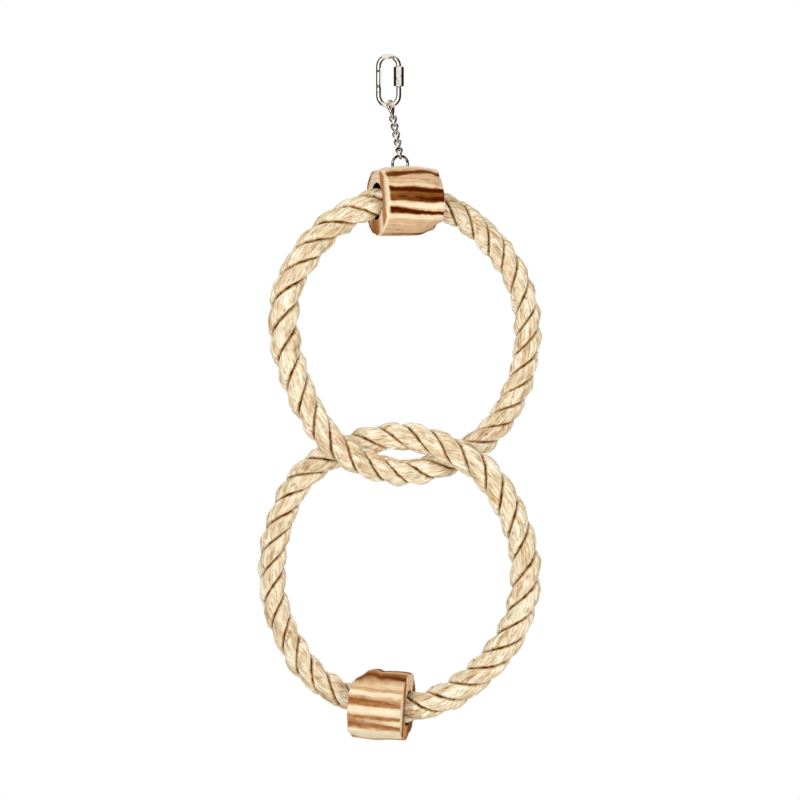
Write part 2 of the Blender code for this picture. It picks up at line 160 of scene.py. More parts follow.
def patchy(across: Array, along: Array, cells: int, seed: int) -> Array:
    """Smooth random patches from -1 to 1 on a sheet of two coordinates.

    Random numbers stand on a square lattice that repeats after a number of cells, and
    a smooth step blends the four corners round each point.

    Args:
        across: First coordinate, in cells.
        along: Second coordinate, in cells.
        cells: Cells after which the lattice repeats, both ways.
        seed: Which lattice of random numbers is used.

    Returns:
        An array of the coordinates' shape.
    """
    corner = np.random.default_rng(seed).uniform(-1.0, 1.0, (cells, cells))
    across, along = np.broadcast_arrays(across, along)
    column, row = np.floor(across).astype(int), np.floor(along).astype(int)
    right, above = ease(across - column, 0.0, 1.0), ease(along - row, 0.0, 1.0)
    here, there = row % cells, (row + 1) % cells
    left, beside = column % cells, (column + 1) % cells
    low = corner[here, left] * (1.0 - right) + corner[here, beside] * right
    high = corner[there, left] * (1.0 - right) + corner[there, beside] * right
    return low * (1.0 - above) + high * above


class Ends(Enum):
    """How a tube's two ends are closed."""

    CAPPED = "capped"
    LOOPED = "looped"


@dataclass
class Surface:
    """Closed surfaces gathered from grids of points, with values carried on the points."""

    points: list[Array] = field(default_factory=list)
    faces: list[Array] = field(default_factory=list)
    values: dict[str, list[Array]] = field(default_factory=dict)
    count: int = 0

    def add(self, grid: Array, ends: Ends, **values: Array) -> None:
        """Add a tube given as a grid of rows along it and columns round it.

        Columns turn anticlockwise as seen from the tube's far end, so that the cross
        product of a step round and a step along points outwards.

        Args:
            grid: Points, rows by columns by three.
            ends: Whether the tube is capped or runs back into itself.
            values: Numbers, or vectors of three, for each point of the grid.
        """
        rows, columns = grid.shape[:2]
        corner = self.count + np.arange(rows * columns).reshape(rows, columns)
        here = corner if ends is Ends.LOOPED else corner[:-1]
        there = np.roll(corner, -1, axis=0) if ends is Ends.LOOPED else corner[1:]
        beside, beyond = np.roll(here, -1, axis=1), np.roll(there, -1, axis=1)
        quads = np.stack((here, beside, beyond, there), axis=-1).reshape(-1, 4)
        self.faces.append(quads)
        if ends is Ends.CAPPED:
            self.faces.extend((corner[:1, ::-1], corner[-1:]))
        self.points.append(grid.reshape(-1, 3))
        for name, value in values.items():
            shape = (rows, columns, *value.shape[2:])
            flat = np.broadcast_to(value, shape).reshape(rows * columns, -1)
            self.values.setdefault(name, []).append(flat)
        self.count += rows * columns

    def build(self, name: str, sharp: float | None = None) -> bpy.types.Object:
        """Make the gathered surfaces one object at the origin.

        Args:
            name: The object's name.
            sharp: Angle above which an edge shows as a corner, or None for none.

        Returns:
            The object, linked to the scene.
        """
        mesh = bpy.data.meshes.new(name)
        mesh.vertices.add(self.count)
        mesh.vertices.foreach_set("co", np.concatenate(self.points).astype(np.float32).ravel())
        sizes = np.concatenate([np.full(len(part), part.shape[1]) for part in self.faces])
        loops = np.concatenate([part.ravel() for part in self.faces])
        mesh.loops.add(len(loops))
        mesh.loops.foreach_set("vertex_index", loops.astype(np.int32))
        mesh.polygons.add(len(sizes))
        starts = np.concatenate(([0], np.cumsum(sizes)[:-1]))
        mesh.polygons.foreach_set("loop_start", starts.astype(np.int32))
        mesh.update(calc_edges=True)
        for key, parts in self.values.items():
            flat = np.concatenate(parts).astype(np.float32)
            kind, slot = ("FLOAT", "value") if flat.shape[1] == 1 else ("FLOAT_VECTOR", "vector")
            made = mesh.attributes.new(key, kind, "POINT")
            made.data.foreach_set(slot, flat.ravel())
        mesh.shade_smooth()
        if sharp is not None:
            mesh.set_sharp_from_angle(angle=sharp)
        piece = bpy.data.objects.new(name, mesh)
        bpy.context.scene.collection.objects.link(piece)
        return piece

    @classmethod
    def single(
        cls, name: str, grid: Array, ends: Ends, sharp: float | None = None, **values: Array
    ) -> bpy.types.Object:
        """Make one tube an object by itself.

        Args:
            name: The object's name.
            grid: Points, rows by columns by three.
            ends: Whether the tube is capped or runs back into itself.
            sharp: Angle above which an edge shows as a corner, or None for none.
            values: Numbers, or vectors of three, for each point of the grid.

        Returns:
            The object, linked to the scene.
        """
        surface = cls()
        surface.add(grid, ends, **values)
        return surface.build(name, sharp)


def wire(centres: Array, normals: Array, radius: Array | float, sides: int, ends: Ends) -> Array:
    """Grid of a round wire carried along a path.

    Each row is centre + radius (cos a N + sin a B), with N the given normal made square
    to the path's tangent T, and B = T x N.

    Args:
        centres: Points of the path.
        normals: A direction for each point that isn't along the path.
        radius: Radius of the wire, one number or one for each point.
        sides: Points round the wire.
        ends: Whether the path runs back into itself.

    Returns:
        Points, rows by columns by three.
    """
    if ends is Ends.LOOPED:
        tangent = unit(np.roll(centres, -1, axis=0) - np.roll(centres, 1, axis=0))
    else:
        tangent = unit(np.gradient(centres, axis=0))
    square = normals - (normals * tangent).sum(axis=1, keepdims=True) * tangent
    normal = unit(square)
    side = np.cross(tangent, normal)
    angle = circle(sides)
    arm = np.cos(angle)[None, :, None] * normal[:, None]
    arm = arm + np.sin(angle)[None, :, None] * side[:, None]
    return centres[:, None] + np.broadcast_to(radius, len(centres))[:, None, None] * arm


class Term:
    """A node's value that takes part in Python expressions, adding Math nodes."""

    def __init__(self, nodes: Nodes, socket: bpy.types.NodeSocket) -> None:
        """Wrap an output socket of a node tree."""
        self.nodes = nodes
        self.socket = socket

    def math(self, operation: str, *values: Term | float) -> Term:
        """A Math node of an operation on the values."""
        return self.nodes.node("ShaderNodeMath", {"operation": operation}, dict(enumerate(values)))

    def __add__(self, other: Term | float) -> Term:
        """The sum."""
        return self.math("ADD", self, other)

    def __radd__(self, other: float) -> Term:
        """The sum, with a number on the left."""
        return self.math("ADD", other, self)

    def __sub__(self, other: Term | float) -> Term:
        """The difference."""
        return self.math("SUBTRACT", self, other)

    def __rsub__(self, other: float) -> Term:
        """The difference from a number."""
        return self.math("SUBTRACT", other, self)

    def __mul__(self, other: Term | float) -> Term:
        """The product."""
        return self.math("MULTIPLY", self, other)

    def __rmul__(self, other: float) -> Term:
        """The product, with a number on the left."""
        return self.math("MULTIPLY", other, self)

    def sine(self) -> Term:
        """The sine."""
        return self.math("SINE", self)

    def between(self, low: float, high: float) -> Term:
        """A smooth step of the value from low to high."""
        settings = {"interpolation_type": "SMOOTHSTEP"}
        span = {"Value": self, "From Min": low, "From Max": high}
        return self.nodes.node("ShaderNodeMapRange", settings, span)


class Nodes:
    """A node tree, written as expressions."""

    def __init__(self, tree: bpy.types.NodeTree) -> None:
        """Wrap a material's or the world's node tree."""
        self.tree = tree

    def node(
        self,
        kind: str,
        settings: dict[str, Any] | None = None,
        inputs: dict[str | int, Any] | None = None,
        output: int | str = 0,
    ) -> Term:
        """Add a node, set it up, and feed its sockets.

        Args:
            kind: The node's type.
            settings: Its properties, and "stops" for a ramp's positions and colours.
            inputs: Values or terms for its sockets, by name or number.
            output: Which of its outputs is wanted.

        Returns:
            The output as a term.
        """
        made = self.tree.nodes.new(kind)
        for key, value in (settings or {}).items():
            if key == "stops":
                self.set_stops(made.color_ramp, value)
            else:
                setattr(made, key, value)
        for key, value in (inputs or {}).items():
            self.plug(made.inputs[key], value)
        return Term(self, made.outputs[output])

    def plug(self, socket: bpy.types.NodeSocket, value: Any) -> None:
        """Link a term to a socket, or set the socket to a plain value."""
        if isinstance(value, Term):
            self.tree.links.new(value.socket, socket)
        else:
            socket.default_value = value

    def seen(self) -> Term:
        """1 for what the camera sees, straight or in a mirror or glass, and 0 for light."""
        rays = ("Is Camera Ray", "Is Glossy Ray", "Is Transmission Ray")
        first, *others = (self.node("ShaderNodeLightPath", output=ray) for ray in rays)
        for other in others:
            first = first.math("MAXIMUM", first, other)
        return first

    @staticmethod
    def set_stops(ramp: bpy.types.ColorRamp, stops: Sequence[Stop]) -> None:
        """Give a colour ramp its stops."""
        while len(ramp.elements) < len(stops):
            ramp.elements.new(1.0)
        for element, (position, colour) in zip(ramp.elements, stops):
            element.position = position
            element.color = colour

    def feed(self, name: str, **sockets: Any) -> None:
        """Feed the sockets of a node that is already there, their names with _ for spaces."""
        for key, value in sockets.items():
            self.plug(self.tree.nodes[name].inputs[key.replace("_", " ")], value)


@dataclass(frozen=True)
class Grain:
    """A noise: its scale in each direction of a place, and its detail."""

    scale: Vector
    detail: float = 3.0


@dataclass(frozen=True)
class Wash:
    """A colour laid over another: its most, and the values at which it starts and is full."""

    most: float
    start: float
    full: float
    colour: Colour


class Shader(Nodes):
    """A material with a Principled shader."""

    def __init__(self, name: str) -> None:
        """Start the material."""
        self.material = bpy.data.materials.new(name)
        self.material.use_nodes = True
        super().__init__(self.material.node_tree)

    def value(self, name: str) -> Term:
        """A number carried on the mesh."""
        return self.node("ShaderNodeAttribute", {"attribute_name": name}, output="Fac")

    def place(self, name: str) -> Term:
        """A vector carried on the mesh."""
        return self.node("ShaderNodeAttribute", {"attribute_name": name}, output="Vector")

    def own_place(self) -> Term:
        """The place of a point in its object."""
        return self.node("ShaderNodeTexCoord", output="Object")

    def noise(self, place: Term, grain: Grain) -> Term:
        """Noise on a place whose three directions are scaled by their own factors."""
        inputs = {0: place, 1: grain.scale}
        scaled = self.node("ShaderNodeVectorMath", {"operation": "MULTIPLY"}, inputs)
        inputs = {"Vector": scaled, "Scale": 1.0, "Detail": grain.detail}
        return self.node("ShaderNodeTexNoise", None, inputs)

    def mix(self, share: Term, first: Term | Colour, second: Term | Colour) -> Term:
        """Two colours mixed by a share."""
        inputs = dict(zip(MIX_INPUTS, (share, first, second)))
        return self.node("ShaderNodeMix", {"data_type": "RGBA"}, inputs, MIX_OUTPUT)

    def wash(self, value: Term, body: Term | Colour, wash: Wash) -> Term:
        """A body with a wash over it where a value says so."""
        return self.mix(wash.most * value.between(wash.start, wash.full), body, wash.colour)

    def ramp(self, share: Term, stops: Sequence[Stop]) -> Term:
        """A colour read off a row of stops."""
        return self.node("ShaderNodeValToRGB", {"stops": stops}, {"Fac": share})

    def bump(self, height: Term, distance: float, strength: float) -> Term:
        """A normal moved by a height."""
        inputs = {"Height": height, "Distance": distance, "Strength": strength}
        return self.node("ShaderNodeBump", None, inputs)

    def done(self, **sockets: Any) -> bpy.types.Material:
        """Feed the Principled shader's sockets, named with _ for spaces, and give the material."""
        self.feed("Principled BSDF", **sockets)
        return self.material


@dataclass(frozen=True)
class RopeFinish:
    """Pale natural fibre rope, with painted shade in dark brown between its strands.

    Its tones run from bark brown over tan and straw to pale. A share says how much of the
    tone comes from one cause, and a step where that cause starts and is full.
    """

    slot: str = "natural_rope"
    tones: tuple[Stop, ...] = (
        (0.72, srgb(176, 137, 93)),
        (0.88, srgb(216, 190, 150)),
        (1.05, srgb(240, 223, 190)),
        (1.24, srgb(254, 246, 224)),
    )
    tone_scale: float = 0.6
    fibre: Grain = Grain((1.1, 0.13, 1.0), 5.0)
    fine: Grain = Grain((6.0, 0.25, 1.0), 2.0)
    blotch: Grain = Grain((0.40, 0.14, 1.0))
    hue: Grain = Grain((0.33, 0.07, 2.0), 2.0)
    streak: Grain = Grain((0.52, 0.15, 4.0), 2.0)
    spot: Grain = Grain((0.10, 0.22, 3.0))
    fibre_share: float = 0.70
    yarn_share: float = 0.28
    fine_share: float = 0.12
    blotch_share: float = 0.70
    # Painted highlight: the strands' shoulders beside each groove are made paler.
    edge_highlight_share: float = 0.10
    edge_highlight_step: tuple[float, float] = (0.40, 0.72)
    # Painted shade: the creases between yarns are made darker than the yarns' crests.
    ridge_shade_share: float = 0.12
    ridge_shade_step: tuple[float, float] = (0.1, 0.5)
    blush: Wash = Wash(0.55, 0.56, 0.70, srgb(222, 184, 156))
    sage: Wash = Wash(0.55, 0.44, 0.30, srgb(208, 201, 163))
    umber: Wash = Wash(0.62, 0.58, 0.70, srgb(146, 102, 62))
    # Painted shade between the strands: a brown wash near each groove, and the hollow colour deep
    # in it.
    groove_shade: Wash = Wash(0.84, 0.72, 0.94, srgb(178, 130, 60))
    groove_shade_ragged: float = 0.30
    hollow: Colour = srgb(110, 64, 6)
    hollow_shade_step: tuple[float, float] = (0.88, 0.98)
    hollow_shade_least: float = 0.15
    spot_step: tuple[float, float] = (0.42, 0.60)
    fibre_height: float = 0.7
    bump_depth: float = 0.3 * MM
    bump_strength: float = 0.9
    roughness: float = 0.85

    @cache
    def material(self) -> bpy.types.Material:
        """Fibres and blotches along the yarns, dark streaks, painted highlight on the strands'
        shoulders, and painted shade between the yarns and between the strands.
        """
        shader = Shader(self.slot)
        lay = shader.place("lay")
        grains = (self.fibre, self.fine, self.blotch, self.hue, self.streak, self.spot)
        fibre, fine, blotch, hue, streak, spot = (shader.noise(lay, grain) for grain in grains)
        edge, ridge = shader.value("edge"), shader.value("ridge")
        tone = self.fibre_share * fibre + self.yarn_share * shader.value("yarn")
        tone = tone + self.fine_share * fine + self.blotch_share * blotch
        # Painted highlight on the strands' shoulders, beside the grooves.
        tone = tone + self.edge_highlight_share * edge.between(*self.edge_highlight_step)
        # Painted shade in the creases between yarns.
        tone = tone + self.ridge_shade_share * ridge.between(*self.ridge_shade_step)
        stops = [(place * self.tone_scale, colour) for place, colour in self.tones]
        body = shader.ramp(tone * self.tone_scale, stops)
        body = shader.wash(hue, body, self.blush)
        body = shader.wash(hue, body, self.sage)
        body = shader.wash(streak, body, self.umber)
        # Painted shade: the nearer to a groove, the browner, its edge made ragged by spots.
        groove_shade_mask = edge + self.groove_shade_ragged * (spot - NOISE_MIDDLE)
        body = shader.wash(groove_shade_mask, body, self.groove_shade)
        # Painted shade deep in each groove, stronger in some spots than in others.
        uneven = self.hollow_shade_least + (1.0 - self.hollow_shade_least) * spot.between(*self.spot_step)
        body = shader.mix(groove_shade_mask.between(*self.hollow_shade_step) * uneven, body, self.hollow)
        height = self.fibre_height * fibre + (1.0 - self.fibre_height) * fine
        return shader.done(
            Base_Color=body,
            Roughness=self.roughness,
            Normal=shader.bump(height, self.bump_depth, self.bump_strength),
            Specular_IOR_Level=0.0,
        )


@dataclass(frozen=True)
class WoodFinish:
    """Peeled log: tan sides with dark furrows, and pale sawn ends with brown bands.

    The side's tones run from bright over tan and brown to dark as its stain grows. The ends are
    cream with growth rings, then banded, then dark at the heart of a band. The inside of the bore
    is painted near black as shade.
    """

    slot: str = "barkless_log"
    tones: tuple[Stop, ...] = (
        (0.06, srgb(247, 230, 196)),
        (0.30, srgb(224, 188, 146)),
        (0.62, srgb(156, 97, 47)),
        (0.95, srgb(76, 23, 0)),
    )
    cream: Colour = srgb(247, 229, 196)
    growth: Wash = Wash(1.0, 0.25, 0.75, srgb(233, 203, 162))
    band: Wash = Wash(1.0, 0.05, 1.05, srgb(186, 124, 68))
    heart: Wash = Wash(0.8, 0.95, 1.5, srgb(112, 62, 18))
    # Painted shade: the inside of the bore is coloured near black.
    bore: Colour = srgb(16, 8, 3)
    streak: Grain = Grain((0.55, 0.035, 0.3), 4.0)
    hair: Grain = Grain((2.8, 0.10, 1.0))
    fleck: Grain = Grain((0.35, 0.16, 0.3))
    wobble: Grain = Grain((0.10, 0.10, 0.10), 2.0)
    pores: Grain = Grain((1.6, 1.6, 1.6))
    streak_stain: float = 0.36
    hair_stain: float = 0.16
    fleck_stain: float = 0.30
    ring_turns: float = 46.0
    ring_wobble: float = 6.0
    ring_share: float = 0.16
    pore_share: float = 0.8
    pore_band: float = 0.5
    wobble_band: float = 0.25
    roughness: float = 0.6
    end_roughness: float = 0.2
    streak_roughness: float = 0.12
    streak_height: float = 0.6
    hair_height: float = 0.4
    ring_height: float = 0.1
    bump_depth: float = 0.35 * MM
    bump_strength: float = 0.6
    specular: float = 0.02

    @cache
    def material(self) -> bpy.types.Material:
        """Streaks along the side, growth rings on the ends, stains in the furrows, and painted
        shade in the bore.
        """
        shader = Shader(self.slot)
        place = shader.place("grain")
        grains = (self.streak, self.hair, self.fleck, self.wobble, self.pores)
        streak, hair, fleck, wobble, pores = (shader.noise(place, grain) for grain in grains)
        stain = shader.value("stain") + self.streak_stain * (streak - NOISE_MIDDLE)
        stain = stain + self.hair_stain * (hair - NOISE_MIDDLE)
        stain = stain + self.fleck_stain * (fleck - NOISE_MIDDLE)
        side = shader.ramp(stain, self.tones)
        cap = shader.value("cap")
        rings = (self.ring_turns * shader.value("radius") + self.ring_wobble * wobble).sine()
        band = shader.value("band") + self.pore_band * (pores - NOISE_MIDDLE)
        band = band + self.wobble_band * (wobble - NOISE_MIDDLE)
        growth = self.ring_share * rings + self.pore_share * pores
        end = shader.wash(growth, self.cream, self.growth)
        end = shader.wash(band, end, self.band)
        end = shader.wash(band, end, self.heart)
        # Painted shade: near black wherever the point is inside the bore.
        body = shader.mix(shader.value("hollow"), shader.mix(cap, side, end), self.bore)
        rough = self.roughness + self.end_roughness * cap
        rough = rough + self.streak_roughness * (streak - NOISE_MIDDLE)
        height = self.streak_height * streak + self.hair_height * hair
        height = height + self.ring_height * rings * cap
        return shader.done(
            Base_Color=body,
            Roughness=rough,
            Normal=shader.bump(height, self.bump_depth, self.bump_strength),
            Specular_IOR_Level=self.specular,
        )


@dataclass(frozen=True)
class SteelFinish:
    """Drawn steel wire: plated and bright, or plain.

    Dark patches, partly wear and partly painted dark reflection, start where the patches' noise
    passes a spread and are full a step above it.
    """

    name: str
    bright: Colour
    wear_and_painted_light: Colour
    smooth: float
    rough: float
    spread: float
    slot: str = "plated_steel"
    step: float = 0.14
    patch: Grain = Grain((420.0, 420.0, 420.0), 4.0)
    scratch: Grain = Grain((2600.0, 2600.0, 500.0), 2.0)
    patch_share: float = 0.7
    bump_depth: float = 0.02 * MM
    bump_strength: float = 0.3

    @cache
    def material(self) -> bpy.types.Material:
        """Fine draw marks, with patches of wear and painted dark reflection that are rougher and
        darker.
        """
        shader = Shader(self.name)
        place = shader.own_place()
        patch, scratch = shader.noise(place, self.patch), shader.noise(place, self.scratch)
        # Patches of wear, which on the plated wire, the chain and the staple also stand for
        # painted dark reflection.
        wear_and_reflection = patch.between(self.spread, self.spread + self.step)
        marks = self.patch_share * wear_and_reflection + (1.0 - self.patch_share) * scratch
        return shader.done(
            Base_Color=shader.mix(wear_and_reflection, self.bright, self.wear_and_painted_light),
            Metallic=1.0,
            Roughness=self.smooth + (self.rough - self.smooth) * marks,
            Normal=shader.bump(scratch, self.bump_depth, self.bump_strength),
        )


@dataclass(frozen=True)
class TwineFinish:
    """Thin twine wound round the rope's ends."""

    slot: str = "whipping_twine"
    dark: Colour = srgb(138, 106, 62)
    pale: Wash = Wash(1.0, 0.35, 0.65, srgb(214, 190, 148))
    fibre: Grain = Grain((3.0, 0.6, 1.0))
    bump_depth: float = 0.1 * MM
    bump_strength: float = 0.7
    roughness: float = 0.8

    @cache
    def material(self) -> bpy.types.Material:
        """Fibres, pale and dark by a noise over the twine."""
        shader = Shader(self.slot)
        fibre = shader.noise(shader.place("lay"), self.fibre)
        return shader.done(
            Base_Color=shader.wash(fibre, self.dark, self.pale),
            Roughness=self.roughness,
            Normal=shader.bump(fibre, self.bump_depth, self.bump_strength),
        )


Finish = RopeFinish | WoodFinish | SteelFinish | TwineFinish

ROPE = RopeFinish()
WOOD = WoodFinish()
TWINE = TwineFinish()
# The dark brown patches of the quick link, the chain and the staple are partly wear and partly
# painted dark reflection; the nail's are wear.
PLATED = SteelFinish(
    name="plated_steel",
    bright=srgb(238, 230, 218),
    wear_and_painted_light=srgb(84, 64, 46),
    smooth=0.05,
    rough=0.18,
    spread=0.53,
)
CHAIN = SteelFinish(
    name="chain_steel",
    bright=srgb(238, 227, 212),
    wear_and_painted_light=srgb(52, 34, 19),
    smooth=0.05,
    rough=0.18,
    spread=0.505,
)
# The staple's steel is duller all over and more patched, as painted dark reflection.
STAPLE = SteelFinish(
    name="staple_steel",
    bright=srgb(196, 184, 168),
    wear_and_painted_light=srgb(52, 36, 24),
    smooth=0.05,
    rough=0.2,
    spread=0.42,
)
NAIL = SteelFinish(
    name="nail_steel",
    bright=srgb(178, 175, 170),
    wear_and_painted_light=srgb(116, 106, 96),
    smooth=0.28,
    rough=0.5,
    spread=0.52,
    slot="nail_steel",
)


def dress(piece: bpy.types.Object, finish: Finish, body: str, node: str) -> None:
    """Give a piece its finish and its place in the frame.

    Args:
        piece: The piece.
        finish: What it is made of, whose material the piece takes.
        body: The CAD body that it moves with.
        node: The CAD node that it stands for.
    """
    piece.data.materials.append(finish.material())
    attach(piece, body)
    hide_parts(node)
    LOG.info("%s: %d faces on %s", piece.name, len(piece.data.polygons), body)


@dataclass(frozen=True)
class Lamp:
    """A square softbox: its offset from the camera's aim, watts, side, and if mirrors see it."""

    name: str
    offset: Vector
    power: float
    size: float
    mirrored: bool = False


@dataclass
class Studio:
    """Camera, soft light, white surround, pale floor, and dark cards for the steel to mirror.

    A card's row gives its name and the angles where it starts and ends, in degrees.
    """

    aim: Vector = (7.7 * MM, 0.0, -232.0 * MM)
    distance: float = 3.0
    view_width: float = 0.544
    sensor: float = 36.0
    white: Colour = (1.0, 1.0, 1.0, 1.0)
    ambient: float = 0.36
    lamps: tuple[Lamp, ...] = (
        Lamp("key", (-0.75, -1.2, 0.35), 9.2, 0.9, mirrored=True),
        Lamp("fill", (0.95, -1.15, 0.05), 8.6, 1.0),
        Lamp("top", (0.0, 0.15, 0.95), 3.0, 0.9),
        Lamp("low", (-0.2, -1.2, -0.8), 5.8, 0.9),
        Lamp("back", (0.35, 1.25, 0.2), 10.0, 1.1),
    )
    corner: float = math.radians(40.0)
    floor_level: float = -0.62
    floor_radius: float = 0.46
    floor_hub: float = 1.0 * MM
    floor_thick: float = 0.01
    floor_sides: int = 96
    floor_colour: Colour = srgb(243, 242, 240)
    floor_roughness: float = 0.9
    dust_colour: Colour = srgb(231, 230, 228)
    dust: Grain = Grain((40.0, 40.0, 40.0))
    floor_glow: Colour = (0.08, 0.08, 0.08, 1.0)
    rim_glow: Colour = (0.6, 0.6, 0.6, 1.0)
    no_glow: Colour = (0.0, 0.0, 0.0, 1.0)
    floor_fade: float = 0.6
    cards: tuple[tuple[str, float, float], ...] = (
        ("left_card", 34.0, 150.0),
        ("right_card", -150.0, -26.0),
    )
    card_radius: float = 0.8
    card_height: float = 2.2
    card_thick: float = 0.01
    card_steps: int = 25
    card_colour: Colour = srgb(32, 21, 13)

    def build(self) -> None:
        """Make the camera, the world, the lamps, the floor and the dark cards."""
        self.add_camera()
        self.add_world()
        for lamp in self.lamps:
            self.add_lamp(lamp)
        self.add_floor()
        for card in self.cards:
            self.add_card(*card)
        bpy.context.scene.view_settings.view_transform = "Standard"

    def add_camera(self) -> None:
        """A level camera in front of the swing, as wide as the photograph's frame."""
        data = bpy.data.cameras.new("camera")
        data.sensor_width = self.sensor
        data.lens = self.sensor * self.distance / self.view_width
        camera = bpy.data.objects.new("camera", data)
        camera.location = (self.aim[0], self.aim[1] - self.distance, self.aim[2])
        camera.rotation_euler = (QUARTER, 0.0, 0.0)
        bpy.context.scene.collection.objects.link(camera)
        bpy.context.scene.camera = camera

    def add_world(self) -> None:
        """White where the camera and mirrors look, and a plain soft light elsewhere."""
        world = bpy.data.worlds.new("studio")
        world.use_nodes = True
        bpy.context.scene.world = world
        nodes = Nodes(world.node_tree)
        soft, white = (
            nodes.node("ShaderNodeBackground", None, {"Color": self.white, "Strength": strength})
            for strength in (self.ambient, 1.0)
        )
        shown = nodes.node("ShaderNodeMixShader", None, {0: nodes.seen(), 1: soft, 2: white})
        nodes.feed("World Output", Surface=shown)

    def add_lamp(self, lamp: Lamp) -> None:
        """Hang a softbox at its offset, facing the swing's middle.

        Args:
            lamp: What it is and where.
        """
        data = bpy.data.lights.new(lamp.name, "AREA")
        data.energy = lamp.power
        data.size = lamp.size
        made = bpy.data.objects.new(lamp.name, data)
        made.location = np.array(self.aim) + np.array(lamp.offset)
        back = unit(np.array(lamp.offset))
        made.rotation_euler = (math.acos(back[2]), 0.0, math.atan2(back[1], back[0]) + QUARTER)
        made.visible_camera = False
        made.visible_glossy = lamp.mirrored
        bpy.context.scene.collection.objects.link(made)

    def add_floor(self) -> None:
        """A pale round floor below the view, a thin disc that grows white towards its rim."""
        thick, reach, hub = self.floor_thick, self.floor_radius, self.floor_hub
        radius = np.array((hub, reach, reach, reach - thick, hub))[:, None]
        level = self.floor_level - np.array((thick, thick, thick / 2, 0.0, 0.0))[:, None]
        angle = circle(self.floor_sides)
        grid = together(radius * np.cos(angle), radius * np.sin(angle), level)
        floor = Surface.single("floor", grid, Ends.CAPPED, self.corner, reach=radius / reach)
        shader = Shader("floor")
        dust = shader.noise(shader.own_place(), self.dust)
        edge = shader.value("reach").between(self.floor_fade, 1.0)
        glow = shader.mix(edge, self.floor_glow, self.rim_glow)
        material = shader.done(
            Base_Color=shader.mix(dust, self.floor_colour, self.dust_colour),
            Roughness=self.floor_roughness,
            Emission_Color=shader.mix(shader.seen(), self.no_glow, glow),
            Emission_Strength=1.0,
        )
        floor.data.materials.append(material)

    def add_card(self, name: str, first: float, last: float) -> None:
        """A dark card bent round the swing, which only mirrors see.

        It is a wall of a cylinder about Z through the aim: R (-sin a, -cos a) at an angle
        a from the camera's side, towards the left.

        Args:
            name: The card's name.
            first: Angle where it starts, in degrees.
            last: Angle where it ends, in degrees.
        """
        angle = np.radians(np.linspace(first, last, self.card_steps))[:, None]
        inner, outer = self.card_radius, self.card_radius + self.card_thick
        reach = np.array((inner, outer, outer, inner))
        half = self.card_height / 2
        level = np.array((-half, -half, half, half))
        grid = together(-reach * np.sin(angle), -reach * np.cos(angle), level)
        card = Surface.single(name, np.array(self.aim) + grid, Ends.CAPPED, self.corner)
        shader = Shader("dark_card")
        card.data.materials.append(shader.done(Base_Color=self.card_colour, Roughness=1.0))
        for ray in ("camera", "diffuse", "transmission", "shadow"):
            setattr(card, f"visible_{ray}", False)


@dataclass(frozen=True)
class Hinge:
    """A CAD joint that turns one ring in the other."""

    pivot: Array
    axis: Array
    limits: tuple[float, float]

    @classmethod
    def read(cls, joints: list[dict[str, Any]], name: str) -> Hinge:
        """The joint of a name in the frame."""
        joint = next(joint for joint in joints if joint["name"] == name)
        low, high = np.radians(joint["range_deg"])
        return cls(np.array(joint["pos_m"]), unit(np.array(joint["axis"])), (low, high))

    def places(self, points: Array, way: float, steps: int = 5) -> list[Array]:
        """Points at places of the swing, each v cos a + (k x v) sin a + k (k . v) (1 - cos a).

        Args:
            points: Points at rest.
            way: 1 for points that swing, -1 for what they see of the rest.
            steps: How many places there are from limit to limit, apart from rest.

        Returns:
            The points at each place, the first at rest.
        """
        arm = points - self.pivot
        lifted = np.cross(self.axis, arm)
        along = (arm @ self.axis)[..., None] * self.axis
        angles = way * np.concatenate(([0.0], np.linspace(*self.limits, steps)))
        return [
            self.pivot + arm * math.cos(a) + lifted * math.sin(a) + along * (1.0 - math.cos(a))
            for a in angles
        ]


